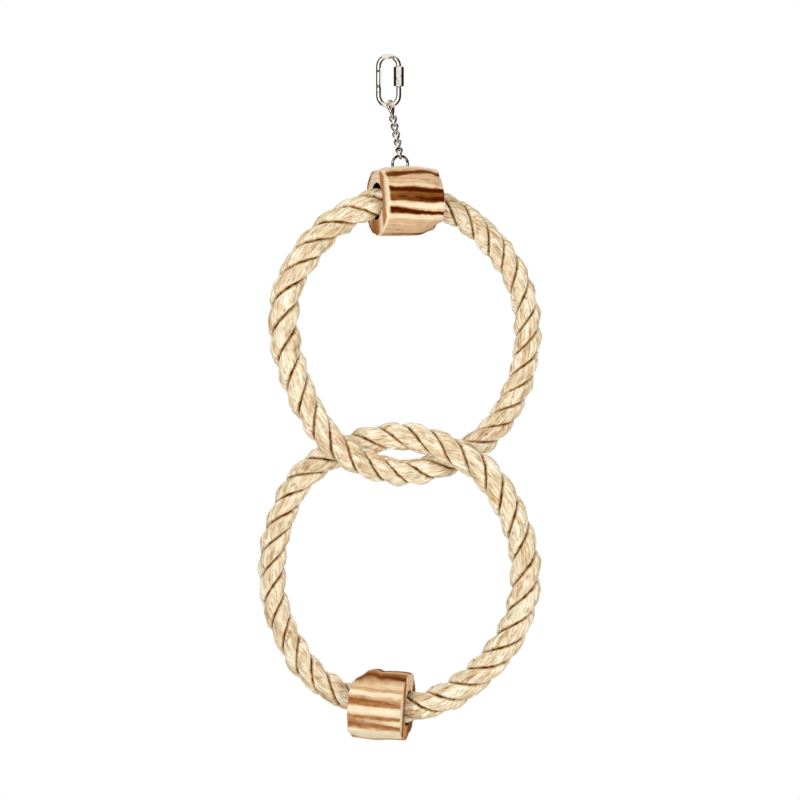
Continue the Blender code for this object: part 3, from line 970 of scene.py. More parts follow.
@dataclass
class RopeRing:
    """A ring of three-strand rope, bent into an oval, with its ends inside a block.

    A station is an angle round the oval from its top, towards +X. The oval lies in XZ
    and yaw turns it about Z. The strands turn once in each lay. The lay is longer and the
    rope thicker on one side of the ring than on the other by a drift, and the rope is
    drawn thin by a waist across from the block. A bow has its place and spread in degrees
    and its reach between them.
    """

    which: str
    centre: Vector
    yaw: float
    block_station: float
    lay_start: float
    lay_drift: float
    thick_drift: float
    waist: float
    bows: tuple[Vector, ...]
    seed: int
    width: float = 0.176
    height: float = 0.184
    lay: float = 0.052
    diameter: float = 0.020
    end_gap: float = 1.2 * MM
    end_ease: float = 30.0 * MM
    strands: int = 3
    strand_radius: float = 9.7 * MM
    groove_depth: float = 3.6 * MM
    roundness: float = 0.94
    crest_lean: float = math.radians(75.0)
    core: float = 1.2 * MM
    slit: float = math.radians(0.8)
    yarn: float = 2.8 * MM
    yarn_lean: float = math.radians(-1.0)
    yarn_height: float = 0.70 * MM
    yarn_count: int = 4096
    ridge_power: float = 0.8
    ridge_level: float = 0.6
    ridge_least: float = 0.4
    ridge_spread: float = 1.2
    fray: float = 0.5
    fray_yarns: float = 0.9
    fray_length: float = 6.0 * MM
    bulge: float = 0.50 * MM
    bulge_length: float = 13.0 * MM
    bulge_turn: float = 1.2
    knob: float = 0.8
    knob_length: float = 5.0 * MM
    knob_turn: float = 2.6
    patch_start: float = 7.0
    patch_cells: int = 64
    knob_cells: int = 128
    edge_power: int = 8
    strand_apart: float = 31.7 * MM
    seed_step: int = 10
    waist_spread: float = math.radians(32.0)
    press_gap: float = 0.5 * MM
    press_steps: int = 481
    least_facing: float = 0.1
    rows: int = 1480
    crest_columns: int = 19
    laid_steps: int = 3601
    cord_points: int = 160

    @property
    def body(self) -> str:
        """The CAD body that the ring is."""
        return f"{self.which}_ring"

    def oval(self, station: Array) -> tuple[Array, Array]:
        """Centreline points and outward directions at stations.

        The point is (W/2 sin t, 0, H/2 cos t), bowed in or out by bell curves round
        the ring, and the direction is (H/2 sin t, 0, W/2 cos t) made a unit.

        Args:
            station: Stations in radians.

        Returns:
            Points and directions, in the row frame.
        """
        sine, cosine = np.sin(station), np.cos(station)
        out = unit(together(self.height * sine, 0.0, self.width * cosine))
        bow = np.zeros_like(station)
        for place, reach, spread in self.bows:
            apart = wrapped(station - math.radians(place))
            bow = bow + reach * bell(apart, math.radians(spread))
        middle = together(self.width / 2 * sine, 0.0, self.height / 2 * cosine)
        middle = middle + bow[..., None] * out
        return turned(middle, self.yaw) + np.array(self.centre), turned(out, self.yaw)

    def laid(self) -> tuple[Array, Array, Array]:
        """Fine stations from the block round to the block, rope run and strands' turn at each."""
        station = self.block_station + np.linspace(0.0, TURN, self.laid_steps)
        sine, cosine = np.sin(station), np.cos(station)
        step = np.hypot(self.width / 2 * np.diff(sine), self.height / 2 * np.diff(cosine))
        run = np.concatenate(([0.0], np.cumsum(step)))
        lay = self.lay * (1.0 - self.lay_drift * sine[1:])
        turn = self.lay_start + np.concatenate(([0.0], np.cumsum(TURN * step / lay)))
        return station, run, turn

    def runs(self, run: Array, count: int) -> Array:
        """Evenly spaced runs from one cut end of the rope to the other."""
        return np.linspace(self.end_gap / 2, run[-1] - self.end_gap / 2, count)

    def outline(self) -> tuple[Array, Array, Array]:
        """One strand's outline in polar form round the rope's middle.

        The crest is R - G (1 - sqrt(1 - (k x)^2)) / (1 - sqrt(1 - k^2)), x from -1 to 1 from
        groove to groove. Flanks run down beside the next strands', to a facet at the core.

        Returns:
            Angles, radii, and how near each point is to a groove from 0 to 1.
        """
        lean = self.crest_lean
        share = np.sin(np.linspace(-lean, lean, self.crest_columns)) / math.sin(lean)
        half = math.pi / self.strands - self.slit
        drop = 1.0 - np.sqrt(1.0 - (self.roundness * share) ** 2)
        crest = self.strand_radius - self.groove_depth * drop / drop[0]
        flank = (crest[-1] + self.core) / 2
        inner = (np.array((half, 0.0, -half)), np.array((flank, self.core, flank)), 1.0)
        angle, radius, edge = joined((half * share, crest, np.abs(share)), inner).T
        return angle, radius, edge

    def around(self) -> tuple[Array, Array]:
        """Stations once round the oval, and its middle there."""
        station = np.linspace(0.0, TURN, self.press_steps)
        return station, self.oval(station)[0]

    def pressed(self, others: list[Array], at: Array, arm: Array) -> Array:
        """How far a strand may reach before it meets the ring that hangs in this one.

        The limit is the plane half-way to the nearest point of the other ring's middle:
        (|h|^2 - g |h| / 2) / (arm . h), h being half the way there and g the gap kept.

        Args:
            others: The other ring's middle, at places of its swing.
            at: Stations of the points.
            arm: Directions of the points from this ring's middle.

        Returns:
            The furthest distance from the middle for each point.
        """
        station, middle = self.around()
        limit = np.full(at.shape, np.inf)
        for other in others:
            apart = other[None] - middle[:, None]
            nearest = np.linalg.norm(apart, axis=-1).argmin(axis=1)
            half = apart[np.arange(len(middle)), nearest] / 2
            here = np.stack([np.interp(at % TURN, station, way) for way in half.T], axis=-1)
            far = np.linalg.norm(here, axis=-1)
            facing = np.maximum((arm * here).sum(axis=-1), self.least_facing * far)
            limit = np.minimum(limit, far * (far - self.press_gap / 2) / facing)
        return limit

    def thinned(self, at: Array) -> Array:
        """The share by which the rope is drawn thin at stations."""
        far = wrapped(at - self.block_station - math.pi)
        return self.thick_drift * np.sin(at) + self.waist * bell(far, self.waist_spread)

    def relief(
        self, seed: int, where: Array, angle: Array, yarns: Array, along: Array
    ) -> tuple[Array, Array, Array]:
        """How far a strand's surface stands out of its outline.

        Each yarn is a ridge |sin|^p of its own height, frayed by fine patches. Slow bulges
        and small knobs of random patches lift all of them.

        Args:
            seed: The strand's first lattice of random numbers.
            where: Runs along the rope.
            angle: Angles round the strand.
            yarns: Places across the yarns, counted in yarns.
            along: Distances along the yarns.

        Returns:
            The relief, how near each point is to a yarn's crest, and its yarn's shade.
        """
        fray_seed, bulge_seed, yarn_seed, knob_seed = range(seed, seed + 4)
        which = np.floor(yarns).astype(int) % self.yarn_count
        shade, height = np.random.default_rng(yarn_seed).uniform(0.0, 1.0, (2, self.yarn_count))
        ridge = np.abs(np.sin(math.pi * yarns)) ** self.ridge_power
        lift = self.ridge_least + self.ridge_spread * height[which]
        lift = (ridge - self.ridge_level) * lift
        fray_at = yarns * self.fray_yarns, along / self.fray_length
        lift = lift + self.fray * patchy(*fray_at, self.patch_cells, fray_seed)
        bulge_at = where / self.bulge_length, angle * self.bulge_turn + self.patch_start
        knob_at = where / self.knob_length, angle * self.knob_turn + self.patch_start
        swell = patchy(*bulge_at, self.patch_cells, bulge_seed)
        swell = swell + self.knob * patchy(*knob_at, self.knob_cells, knob_seed)
        return self.yarn_height * lift + self.bulge * swell, ridge, shade[which]

    def strand(self, index: int, others: list[Array]) -> tuple[Array, dict[str, Array]]:
        """Grid of one strand, its rows leaning along the yarns.

        A row starts at a run s and leans to s - m u with the angle u round the strand,
        which is the yarns' own slope, eased off at the rope's two ends. The radius is the
        outline's, thinned, plus the relief away from the grooves.

        Args:
            index: Which of the strands.
            others: The other ring's middle, at places of its swing.

        Returns:
            Points, rows by columns by three, and the values carried on them.
        """
        station, run, turn = self.laid()
        angle, radius, edge = (column[None] for column in self.outline())
        lean, across = math.sin(self.yarn_lean), math.cos(self.yarn_lean)
        reach = self.strand_radius * across
        slope = reach / (lean + reach * TURN / self.lay)
        first = self.runs(run, self.rows)[:, None]
        inside = np.minimum(first - first[0], first[-1] - first)
        where = first - slope * angle * ease(inside, 0.0, self.end_ease)
        past = np.interp(where, run, turn) + angle + index * TURN / self.strands
        yarns = (where * lean + past * reach) / self.yarn
        along = where * across - past * self.strand_radius * lean
        seed = self.seed + self.seed_step * index
        rise, ridge, shade = self.relief(seed, where, angle, yarns, along)
        at = np.interp(where, run, station)
        depth = radius * (1.0 - self.thinned(at)) + (1.0 - edge**self.edge_power) * rise
        middle, out = self.oval(at)
        arm = np.cos(past)[..., None] * out + np.sin(past)[..., None] * turned(FRONT, self.yaw)
        depth = np.minimum(depth, self.pressed(others, at, arm))
        values = {
            "yarn": shade,
            "ridge": ridge,
            "edge": edge,
            "lay": together(yarns * self.yarn, along, self.strand_apart * index) / MM,
        }
        return middle + depth[..., None] * arm, values

    def build(self, others: list[Array]) -> None:
        """Make the rope from its strands; its middle path from the block round to the block is
        worked out but not used.

        Args:
            others: The other ring's middle, at places of its swing.
        """
        surface = Surface()
        for index in range(self.strands):
            grid, values = self.strand(index, others)
            surface.add(grid, Ends.CAPPED, **values)
        rope = surface.build(f"{self.which}_rope_strands")
        dress(rope, ROPE, self.body, f"{self.which}_rope")
        station, run, _ = self.laid()
        path = self.oval(np.interp(self.runs(run, self.cord_points), run, station))[0]


@dataclass(frozen=True)
class Furrow:
    """A stripe along a log: its middle and half width in degrees, its stain and its depth.

    Towards the block's far end, slope moves its middle by degrees, grow widens it and
    fade darkens it by shares.
    """

    angle: float
    width: float
    stain: float
    depth: float
    slope: float = 0.0
    grow: float = 0.0
    fade: float = 0.0


@dataclass(frozen=True)
class Band:
    """A brown band across an end face, all in shares of the radius. Most bands are stains; one on
    the upper block is painted shadow under the rope.

    It stands at a place ahead of the bore, moves on by its slope and darkens by its
    fade towards the side that is out of the ring.
    """

    place: float
    slope: float
    width: float
    stain: float
    fade: float = 0.0


@dataclass(frozen=True)
class Dent:
    """A dent in a log's side, or a bump where its depth is below nothing.

    Its middle and spread are degrees round the log and shares of half the length along it.
    """

    angle: float
    spread: float
    place: float
    reach: float
    depth: float


@dataclass(frozen=True)
class Patch:
    """Random patches on a log: height, cells round it, pace along half of it, start, draw.

    The draw says which lattice of random numbers is used, counted on from the log's seed.
    """

    height: float
    cells: int
    pace: float
    start: float
    draw: int

    def row(self, along: Array) -> Array:
        """Cells along the log, at heights along its bore."""
        return along * self.pace + self.start

    def stripe(self, along: Array, index: int, seed: int) -> Array:
        """Patches along one stripe, which runs down the middle of its own cells."""
        middle = np.array(index + 0.5)
        return self.height * patchy(self.row(along), middle, self.cells, seed + self.draw)

    def sheet(self, angle: Array, along: Array, seed: int) -> Array:
        """Patches all round the log."""
        across = angle * self.cells / TURN
        return self.height * patchy(across, self.row(along), self.cells, seed + self.draw)


@dataclass
class LogBlock:
    """A short drilled log section on a ring.

    In its own frame X points out of the ring, Y to the front and Z along its bore.
    """

    which: str
    centre: Vector
    out: Vector
    yaw: float
    length: float
    radius: float
    bore: float
    furrows: tuple[Furrow, ...]
    dents: tuple[Dent, ...]
    bands: tuple[Band, ...]
    taper: float
    seed: int
    askew: float = 0.0
    base_stain: float = 0.24
    # Painted highlight: the side is made pale over a ragged width next to the end where along is
    # -1, as light on that end's bevel.
    highlight_stain: float = 0.08
    wear_and_painted_light: float = 0.0
    highlight_start: float = 0.4
    highlight_ragged: Patch = Patch(0.4, 22, pace=0.0, start=0.5, draw=8)
    # How strong the painted shade inside the bore is.
    bore_shade: float = 1.0
    rim: float = 1.3 * MM
    rim_steps: int = 7
    rim_cap: tuple[float, float] = (0.2, 0.9)
    face_end: float = 0.04
    bore_end: float = 0.985
    drift: Patch = Patch(1.6, 32, pace=2.2, start=3.0, draw=0)
    wander: Patch = Patch(0.7, 64, pace=9.0, start=30.0, draw=7)
    uneven: Patch = Patch(0.22, 32, pace=3.1, start=9.0, draw=1)
    furrow_power: int = 6
    edge_width: float = 1.9 * MM
    edge_growth: float = 2.0
    edge_stain: float = 1.3
    edge_tone: float = 0.72
    edge_ragged: Patch = Patch(0.35, 26, pace=0.0, start=0.5, draw=9)
    edge_full: float = 0.5
    edge_back: tuple[float, float] = (-0.15, 0.45)
    edge_wide: tuple[float, float] = (0.2, 1.0)
    lumps: Patch = Patch(0.5 * MM, 14, pace=1.5, start=5.0, draw=2)
    fine: Patch = Patch(0.12 * MM, 60, pace=3.0, start=5.0, draw=3)
    pared: float = 0.5 * MM
    taper_start: float = -0.2
    dent_power: int = 4
    band_power: int = 4
    saw_depth: float = 0.10 * MM
    saw_pitch: float = 0.55 * MM
    saw_turn: float = 0.7
    rough_depth: float = 0.16 * MM
    rough_start: float = 99.0
    rough_cells: int = 97
    rough_draw: int = 5
    sawn_off: float = 0.25 * MM
    sawn_wall: float = 0.02
    nail_places: tuple[float, float] = (-12.0 * MM, 12.0 * MM)
    nail_sink: float = 2.0 * MM
    nail_reach: float = 2.3 * MM
    nail_floor: float = 0.72
    columns: int = 288
    side_rows: int = 84
    face_rows: int = 20
    bore_rows: int = 14

    @property
    def body(self) -> str:
        """The CAD body that the block moves with."""
        return f"{self.which}_ring"

    def axes(self) -> Array:
        """The block's X, Y and Z directions, as rows, turned askew about its front."""
        front = turned(FRONT, self.yaw)
        out = np.array(self.out) * math.cos(self.askew)
        out = out + np.cross(front, np.array(self.out)) * math.sin(self.askew)
        return np.stack((out, front, np.cross(out, front)))

    def placed(self, local: Array) -> Array:
        """Points of the block's frame, put in the row frame."""
        return np.array(self.centre) + local @ self.axes()

    def profile(self) -> Array:
        """The block's section, from the left end of its side to the right and back by the bore.

        Returns:
            Rows of four numbers: height along the bore from -1 to 1, share of the wall from
            the bore to the side, how much the point is on an end face and how much in the bore.
        """
        ease_z = self.rim / (self.length / 2)
        ease_r = self.rim / (self.radius - self.bore)
        corner = np.linspace(0.0, QUARTER, self.rim_steps)[1:]
        side = np.linspace(-1.0 + ease_z, 1.0 - ease_z, self.side_rows)
        rim_z = 1.0 - ease_z * (1.0 - np.sin(corner))
        rim_r = 1.0 - ease_r * (1.0 - np.cos(corner))
        on_rim = ease(np.sin(corner), *self.rim_cap)
        face = np.linspace(rim_r[-1], self.face_end, self.face_rows)[1:]
        inner = np.linspace(self.bore_end, -self.bore_end, self.bore_rows)
        return joined(
            (side, 1.0, 0.0, 0.0),
            (rim_z, rim_r, on_rim, 0.0),
            (1.0, face, 1.0, 0.0),
            (inner, 0.0, 1.0, 1.0),
            (-1.0, face[::-1], 1.0, 0.0),
            (-rim_z[::-1], rim_r[::-1], on_rim[::-1], 0.0),
        )

    def furrowed(self, angle: Array, along: Array) -> tuple[Array, Array]:
        """Depth and stain of the side at angles and heights along the bore, with a painted
        highlight by one end.

        Each furrow is 1 / (1 + (a / w)^6) across, its middle and its edges wandering.

        Args:
            angle: Angles from out of the ring towards the front.
            along: Heights along the bore, from -1 to 1.

        Returns:
            How deep the side is sunk, and how dark it is from 0 to 1.
        """
        shape = np.broadcast(angle, along).shape
        depth, stain = np.zeros(shape), np.full(shape, self.base_stain)
        for index, furrow in enumerate(self.furrows):
            drift, wander, uneven = (
                patch.stripe(along, index, self.seed)
                for patch in (self.drift, self.wander, self.uneven)
            )
            middle = np.radians(furrow.angle + furrow.slope * along + (drift + wander))
            width = math.radians(furrow.width) * (1.0 + uneven) * (1.0 + furrow.grow * along)
            apart = wrapped(angle - middle)
            share = 1.0 / (1.0 + (apart / width) ** self.furrow_power)
            depth = depth + furrow.depth * share
            tone = furrow.stain * (1.0 + furrow.fade * along)
            stain = stain + (tone - stain) * share
        # Painted highlight: a ragged pale band beside the end where along is -1.
        if self.wear_and_painted_light > 0.0:
            full = self.wear_and_painted_light * (1.0 + self.highlight_ragged.sheet(angle, along, self.seed))
            inwards = (1.0 + along) * self.length / 2
            kept = ease(inwards, self.highlight_start * self.wear_and_painted_light, full)
            stain = self.highlight_stain + (stain - self.highlight_stain) * kept
        return depth, stain

    def edged(self, angle: Array, along: Array, wall: Array) -> tuple[Array, Array]:
        """The dark edge that each end keeps on its back half, widest at the very back.

        Args:
            angle: Angles from out of the ring towards the front.
            along: Heights along the bore, from -1 to 1.
            wall: Shares of the wall from the bore to the side.

        Returns:
            How dark the edge is on the end faces, and on the side beside them.
        """
        behind = -np.sin(angle)
        back = ease(behind, *self.edge_back)
        deep = self.edge_width * (1.0 + self.edge_ragged.sheet(angle, along, self.seed))
        wide = deep * (1.0 + self.edge_growth * ease(behind, *self.edge_wide))
        inwards = (1.0 - wall) * (self.radius - self.bore)
        beside = (1.0 - np.abs(along)) * self.length / 2
        face = back * (1.0 - ease(inwards, self.edge_full * wide, wide))
        side = self.edge_tone * back * (1.0 - ease(beside, self.edge_full * deep, deep))
        return self.edge_stain * face, side

    def side(self, angle: Array, along: Array, depth: Array) -> Array:
        """Radius of the side: sunk furrows, lumps, dents, the taper and the nails' holes.

        Args:
            angle: Angles from out of the ring towards the front.
            along: Heights along the bore, from -1 to 1.
            depth: How deep the furrows are sunk.

        Returns:
            The radius at each point.
        """
        lumps, fine = (patch.sheet(angle, along, self.seed) for patch in (self.lumps, self.fine))
        outer = self.radius - depth + lumps + fine - self.pared
        outer = outer - self.taper * ease(along, self.taper_start, 1.0)
        for dent in self.dents:
            apart = wrapped(angle - math.radians(dent.angle))
            near = dent.depth * bell(apart, math.radians(dent.spread), self.dent_power)
            outer = outer - near * bell(along - dent.place, dent.reach, self.dent_power)
        around = wrapped(angle + QUARTER) * self.radius
        for place in self.nail_places:
            far = np.hypot(around, along * self.length / 2 - place)
            hole = 1.0 - ease(far, self.nail_floor * self.nail_reach, self.nail_reach)
            outer = outer - self.nail_sink * hole
        return outer

    def banded(self, rise: Array, ahead: Array, ring: Array) -> Array:
        """How brown the ends are, with the bands, stains and painted shadow, laid over the dark
        edge.

        Args:
            rise: Heights out of the ring.
            ahead: Distances to the front.
            ring: How dark the edge is.

        Returns:
            The darker of edge and bands at each point.
        """
        for band in self.bands:
            off = ahead / self.radius - band.place - band.slope * rise / self.radius
            tone = band.stain * (1.0 + band.fade * rise / self.radius)
            ring = np.maximum(ring, tone * bell(off, band.width, self.band_power))
        return ring

    def build(self) -> None:
        """Make the block: a section carried round the bore's axis and closed on itself."""
        angle = circle(self.columns)[None]
        along, wall, cap, hollow = (column[:, None] for column in self.profile().T)
        depth, stain = self.furrowed(angle, along)
        radius = self.bore + (self.side(angle, along, depth) - self.bore) * wall
        rise, ahead = radius * np.cos(angle), radius * np.sin(angle)
        saw = self.saw_depth * np.sin(radius * np.cos(angle + self.saw_turn) / self.saw_pitch)
        across, up = rise / MM + self.rough_start, ahead / MM + self.rough_start
        rough = patchy(across, up, self.rough_cells, self.seed + self.rough_draw)
        sawn = (saw + self.rough_depth * rough - self.sawn_off) * (cap * (wall > self.sawn_wall))
        level = along * (self.length / 2 + sawn)
        local = together(rise, ahead, level)
        ring, edge = self.edged(angle, along, wall)
        grain = together(angle * self.radius, level, radius)
        values = {
            "stain": np.maximum(stain, edge),
            "cap": cap,
            # Painted shade: where the near black inside the bore is laid.
            "hollow": self.bore_shade * hollow,
            "radius": radius / self.radius,
            "band": self.banded(rise, ahead, ring),
            "grain": (grain + (local - grain) * cap[..., None]) / MM,
        }
        values = {name: value[::-1] for name, value in values.items()}
        grid = self.placed(local)[::-1]
        block = Surface.single(f"{self.which}_log_block", grid, Ends.LOOPED, **values)
        dress(block, WOOD, self.body, f"{self.which}_block")


@dataclass
class Nails:
    """The two pins driven into a block's back, which hold the rope's ends.

    The outline goes from the head's middle down to the point: radius and height, in
    millimetres.
    """

    block: LogBlock
    under: float = 1.2 * MM
    sides: int = 24
    corner: float = math.radians(50.0)
    outline: tuple[tuple[float, float], ...] = (
        (0.10, 0.0),
        (0.9, -0.05),
        (1.5, -0.18),
        (1.78, -0.42),
        (1.8, -0.62),
        (1.62, -0.8),
        (1.0, -0.86),
        (0.9, -1.1),
        (0.9, -6.0),
        (0.9, -11.0),
        (0.9, -18.0),
        (0.88, -19.3),
        (0.5, -20.4),
        (0.05, -21.3),
    )

    def build(self) -> None:
        """Turn the outline about each nail's own axis."""
        block = self.block
        radius, height = (column[:, None] * MM for column in np.array(self.outline).T)
        angle = circle(self.sides)
        down = -(block.radius - self.under + height)
        for side, place in zip(SIDES, block.nail_places):
            word = hand(block.which, side)
            local = together(radius * np.cos(angle), down, radius * np.sin(angle) + place)
            grid = block.placed(local)[:, ::-1]
            nail = Surface.single(f"{block.which}_{word}_nail", grid, Ends.CAPPED, self.corner)
            dress(nail, NAIL, block.body, f"{block.which}_nail_{word}")


@dataclass
class Whippings:
    """Twine wound round a rope's two ends, where they meet inside the block."""

    ring: RopeRing
    from_end: float = 1.6 * MM
    length: float = 6.0 * MM
    windings: int = 9
    coil_radius: float = 10.65 * MM
    twine_radius: float = 0.32 * MM
    steps: int = 40
    sides: int = 8

    def build(self) -> None:
        """Wind a helix of twine round each end of the rope.

        The path is the rope's middle at a run s plus a radius turned once per winding.
        """
        ring = self.ring
        station, run, _ = ring.laid()
        front = turned(FRONT, ring.yaw)
        turns = np.linspace(0.0, TURN * self.windings, self.windings * self.steps + 1)
        share = turns / turns[-1]
        reach = self.from_end + self.twine_radius + share * (self.length - 2 * self.twine_radius)
        lay = together(np.arange(self.sides), turns[:, None] * self.coil_radius / MM, 0.0)
        for side, where in zip(SIDES, (run[-1] - reach, reach)):
            word = hand(ring.which, side)
            middle, out = ring.oval(np.interp(where, run, station))
            arm = np.cos(turns)[:, None] * out + np.sin(turns)[:, None] * front
            path = middle + self.coil_radius * arm
            grid = wire(path, arm, self.twine_radius, self.sides, Ends.CAPPED)
            coil = Surface.single(f"{ring.which}_{word}_whipping", grid, Ends.CAPPED, lay=lay)
            dress(coil, TWINE, ring.body, f"{ring.which}_whipping_{word}")


@dataclass
class QuickLink:
    """The oval of wire that hangs on a bar, open on its right side, and its sleeve nut."""

    wire: float = 3.5 * MM
    inner_width: float = 10.2 * MM
    inner_length: float = 30.0 * MM
    stub: float = 1.8 * MM
    mouth: float = 4.2 * MM
    thread_pitch: float = 0.7 * MM
    thread_depth: float = 0.22 * MM
    thread_run: float = 9.0 * MM
    end_share: float = 0.86
    sides: int = 24
    bend_steps: int = 41
    stub_steps: int = 26
    side_steps: int = 30
    post_steps: int = 140
    wire_corner: float = math.radians(60.0)
    nearly: float = 1e-9
    nut_length: float = 13.5 * MM
    nut_drop: float = 0.2 * MM
    nut_bore: float = 2.05 * MM
    nut_bevel: float = 0.3 * MM
    nut_lip: float = 0.25 * MM
    nut_apothem: float = 3.0 * MM
    nut_chamfer: float = 0.55 * MM
    chamfer_reach: float = 1.2
    chamfer_cut: float = 0.25
    chamfer_slope: float = 1.1
    chamfer_rows: int = 7
    nut_sides: int = 96
    nut_rows: int = 12
    bore_rows: int = 6
    nut_corner: float = math.radians(30.0)

    @property
    def half(self) -> float:
        """Half the oval's width, on the wire's middle."""
        return (self.inner_width + self.wire) / 2

    @property
    def top(self) -> float:
        """Height of the top bend's centre."""
        return self.wire / 2 - self.half

    @property
    def bottom(self) -> float:
        """Height of the bottom bend's centre."""
        return -self.inner_length - self.wire / 2 + self.half

    @property
    def post_end(self) -> float:
        """Height of the post's end, below the mouth."""
        return self.top - self.stub - self.mouth

    def crown(self, lean: float) -> Array:
        """Wire middle on the bottom bend where a leaning chain pulls."""
        across, down = math.sin(lean) * self.half, math.cos(lean) * self.half
        return np.array((across, 0.0, self.bottom - down))

    def path(self) -> Array:
        """Middle of the wire from the stub over the top, down the left side and up to the post."""
        half, bend = self.half, np.linspace(0.0, math.pi, self.bend_steps)
        across, rise = half * np.cos(bend), half * np.sin(bend)
        stub = np.linspace(self.top - self.stub, self.top, self.stub_steps)[:-1]
        left = np.linspace(self.top, self.bottom, self.side_steps)[1:-1]
        post = np.linspace(self.bottom, self.post_end, self.post_steps)[1:]
        return joined(
            (half, 0.0, stub),
            (across, 0.0, self.top + rise),
            (-half, 0.0, left),
            (-across, 0.0, self.bottom - rise),
            (half, 0.0, post),
        )

    def build(self) -> None:
        """Make the wire, threaded at its mouth, and the nut over it.

        The wire's radius falls by a rounded thread (1 - cos) / 2 on the stub and the post.
        """
        path = self.path()
        across, _, height = path.T
        right = across > self.half - self.nearly
        threaded = right & (height > self.post_end - self.thread_run) & (height < self.top)
        tooth = 0.5 - 0.5 * np.cos(TURN * height / self.thread_pitch)
        radius = self.wire / 2 - self.thread_depth * tooth * threaded
        radius = radius * np.where(from_ends(len(path)) == 0, self.end_share, 1.0)
        normals = np.broadcast_to(-FRONT, path.shape)
        grid = wire(path, normals, radius, self.sides, Ends.CAPPED)
        body = Surface.single("quick_link_wire", grid, Ends.CAPPED, self.wire_corner)
        dress(body, PLATED, "quick_link", "quick_link_body")
        self.add_nut()

    def add_nut(self) -> None:
        """Make the nut: a hexagon A / cos(a) cut by a cone at each end, with its bore."""
        angle = circle(self.nut_sides)
        hexagon = self.nut_apothem / np.cos(np.mod(angle, TURN / 6) - TURN / 12)
        half, start = self.nut_length / 2, self.chamfer_reach * self.nut_chamfer
        slope = np.linspace(self.chamfer_reach, 0.0, self.chamfer_rows)[1:] * self.nut_chamfer
        side, up = np.linspace(-half + start, half - start, self.nut_rows), half - slope
        inner = np.linspace(half - self.nut_bevel, -half + self.nut_bevel, self.bore_rows)
        mouth = self.nut_bore + self.nut_bevel
        lips = np.array((mouth + self.nut_lip, mouth))
        height, bored = joined(
            (side, np.inf),
            (up, np.inf),
            (half, lips),
            (inner, self.nut_bore),
            (-half, lips[::-1]),
            (-up[::-1], np.inf),
        ).T[..., None]
        cone = self.nut_apothem - self.chamfer_cut * self.nut_chamfer
        cone = cone + self.chamfer_slope * (half - np.abs(height))
        radius = np.minimum(np.minimum(hexagon, cone), bored)
        centre = np.array((self.half, 0.0, self.top - self.nut_drop - half))
        grid = centre + together(radius * np.cos(angle), radius * np.sin(angle), height)
        nut = Surface.single("quick_link_sleeve_nut", grid, Ends.LOOPED, self.nut_corner)
        dress(nut, PLATED, "nut", "quick_link_nut")


@dataclass(frozen=True)
class Link:
    """A chain link: its piece, body and node, then its wire and its inside length and width.

    Turn is the way that its top's width points, and twist how much further round the
    bottom's width points.
    """

    name: str
    body: str
    node: str
    wire: float
    length: float
    width: float
    turn: float
    twist: float


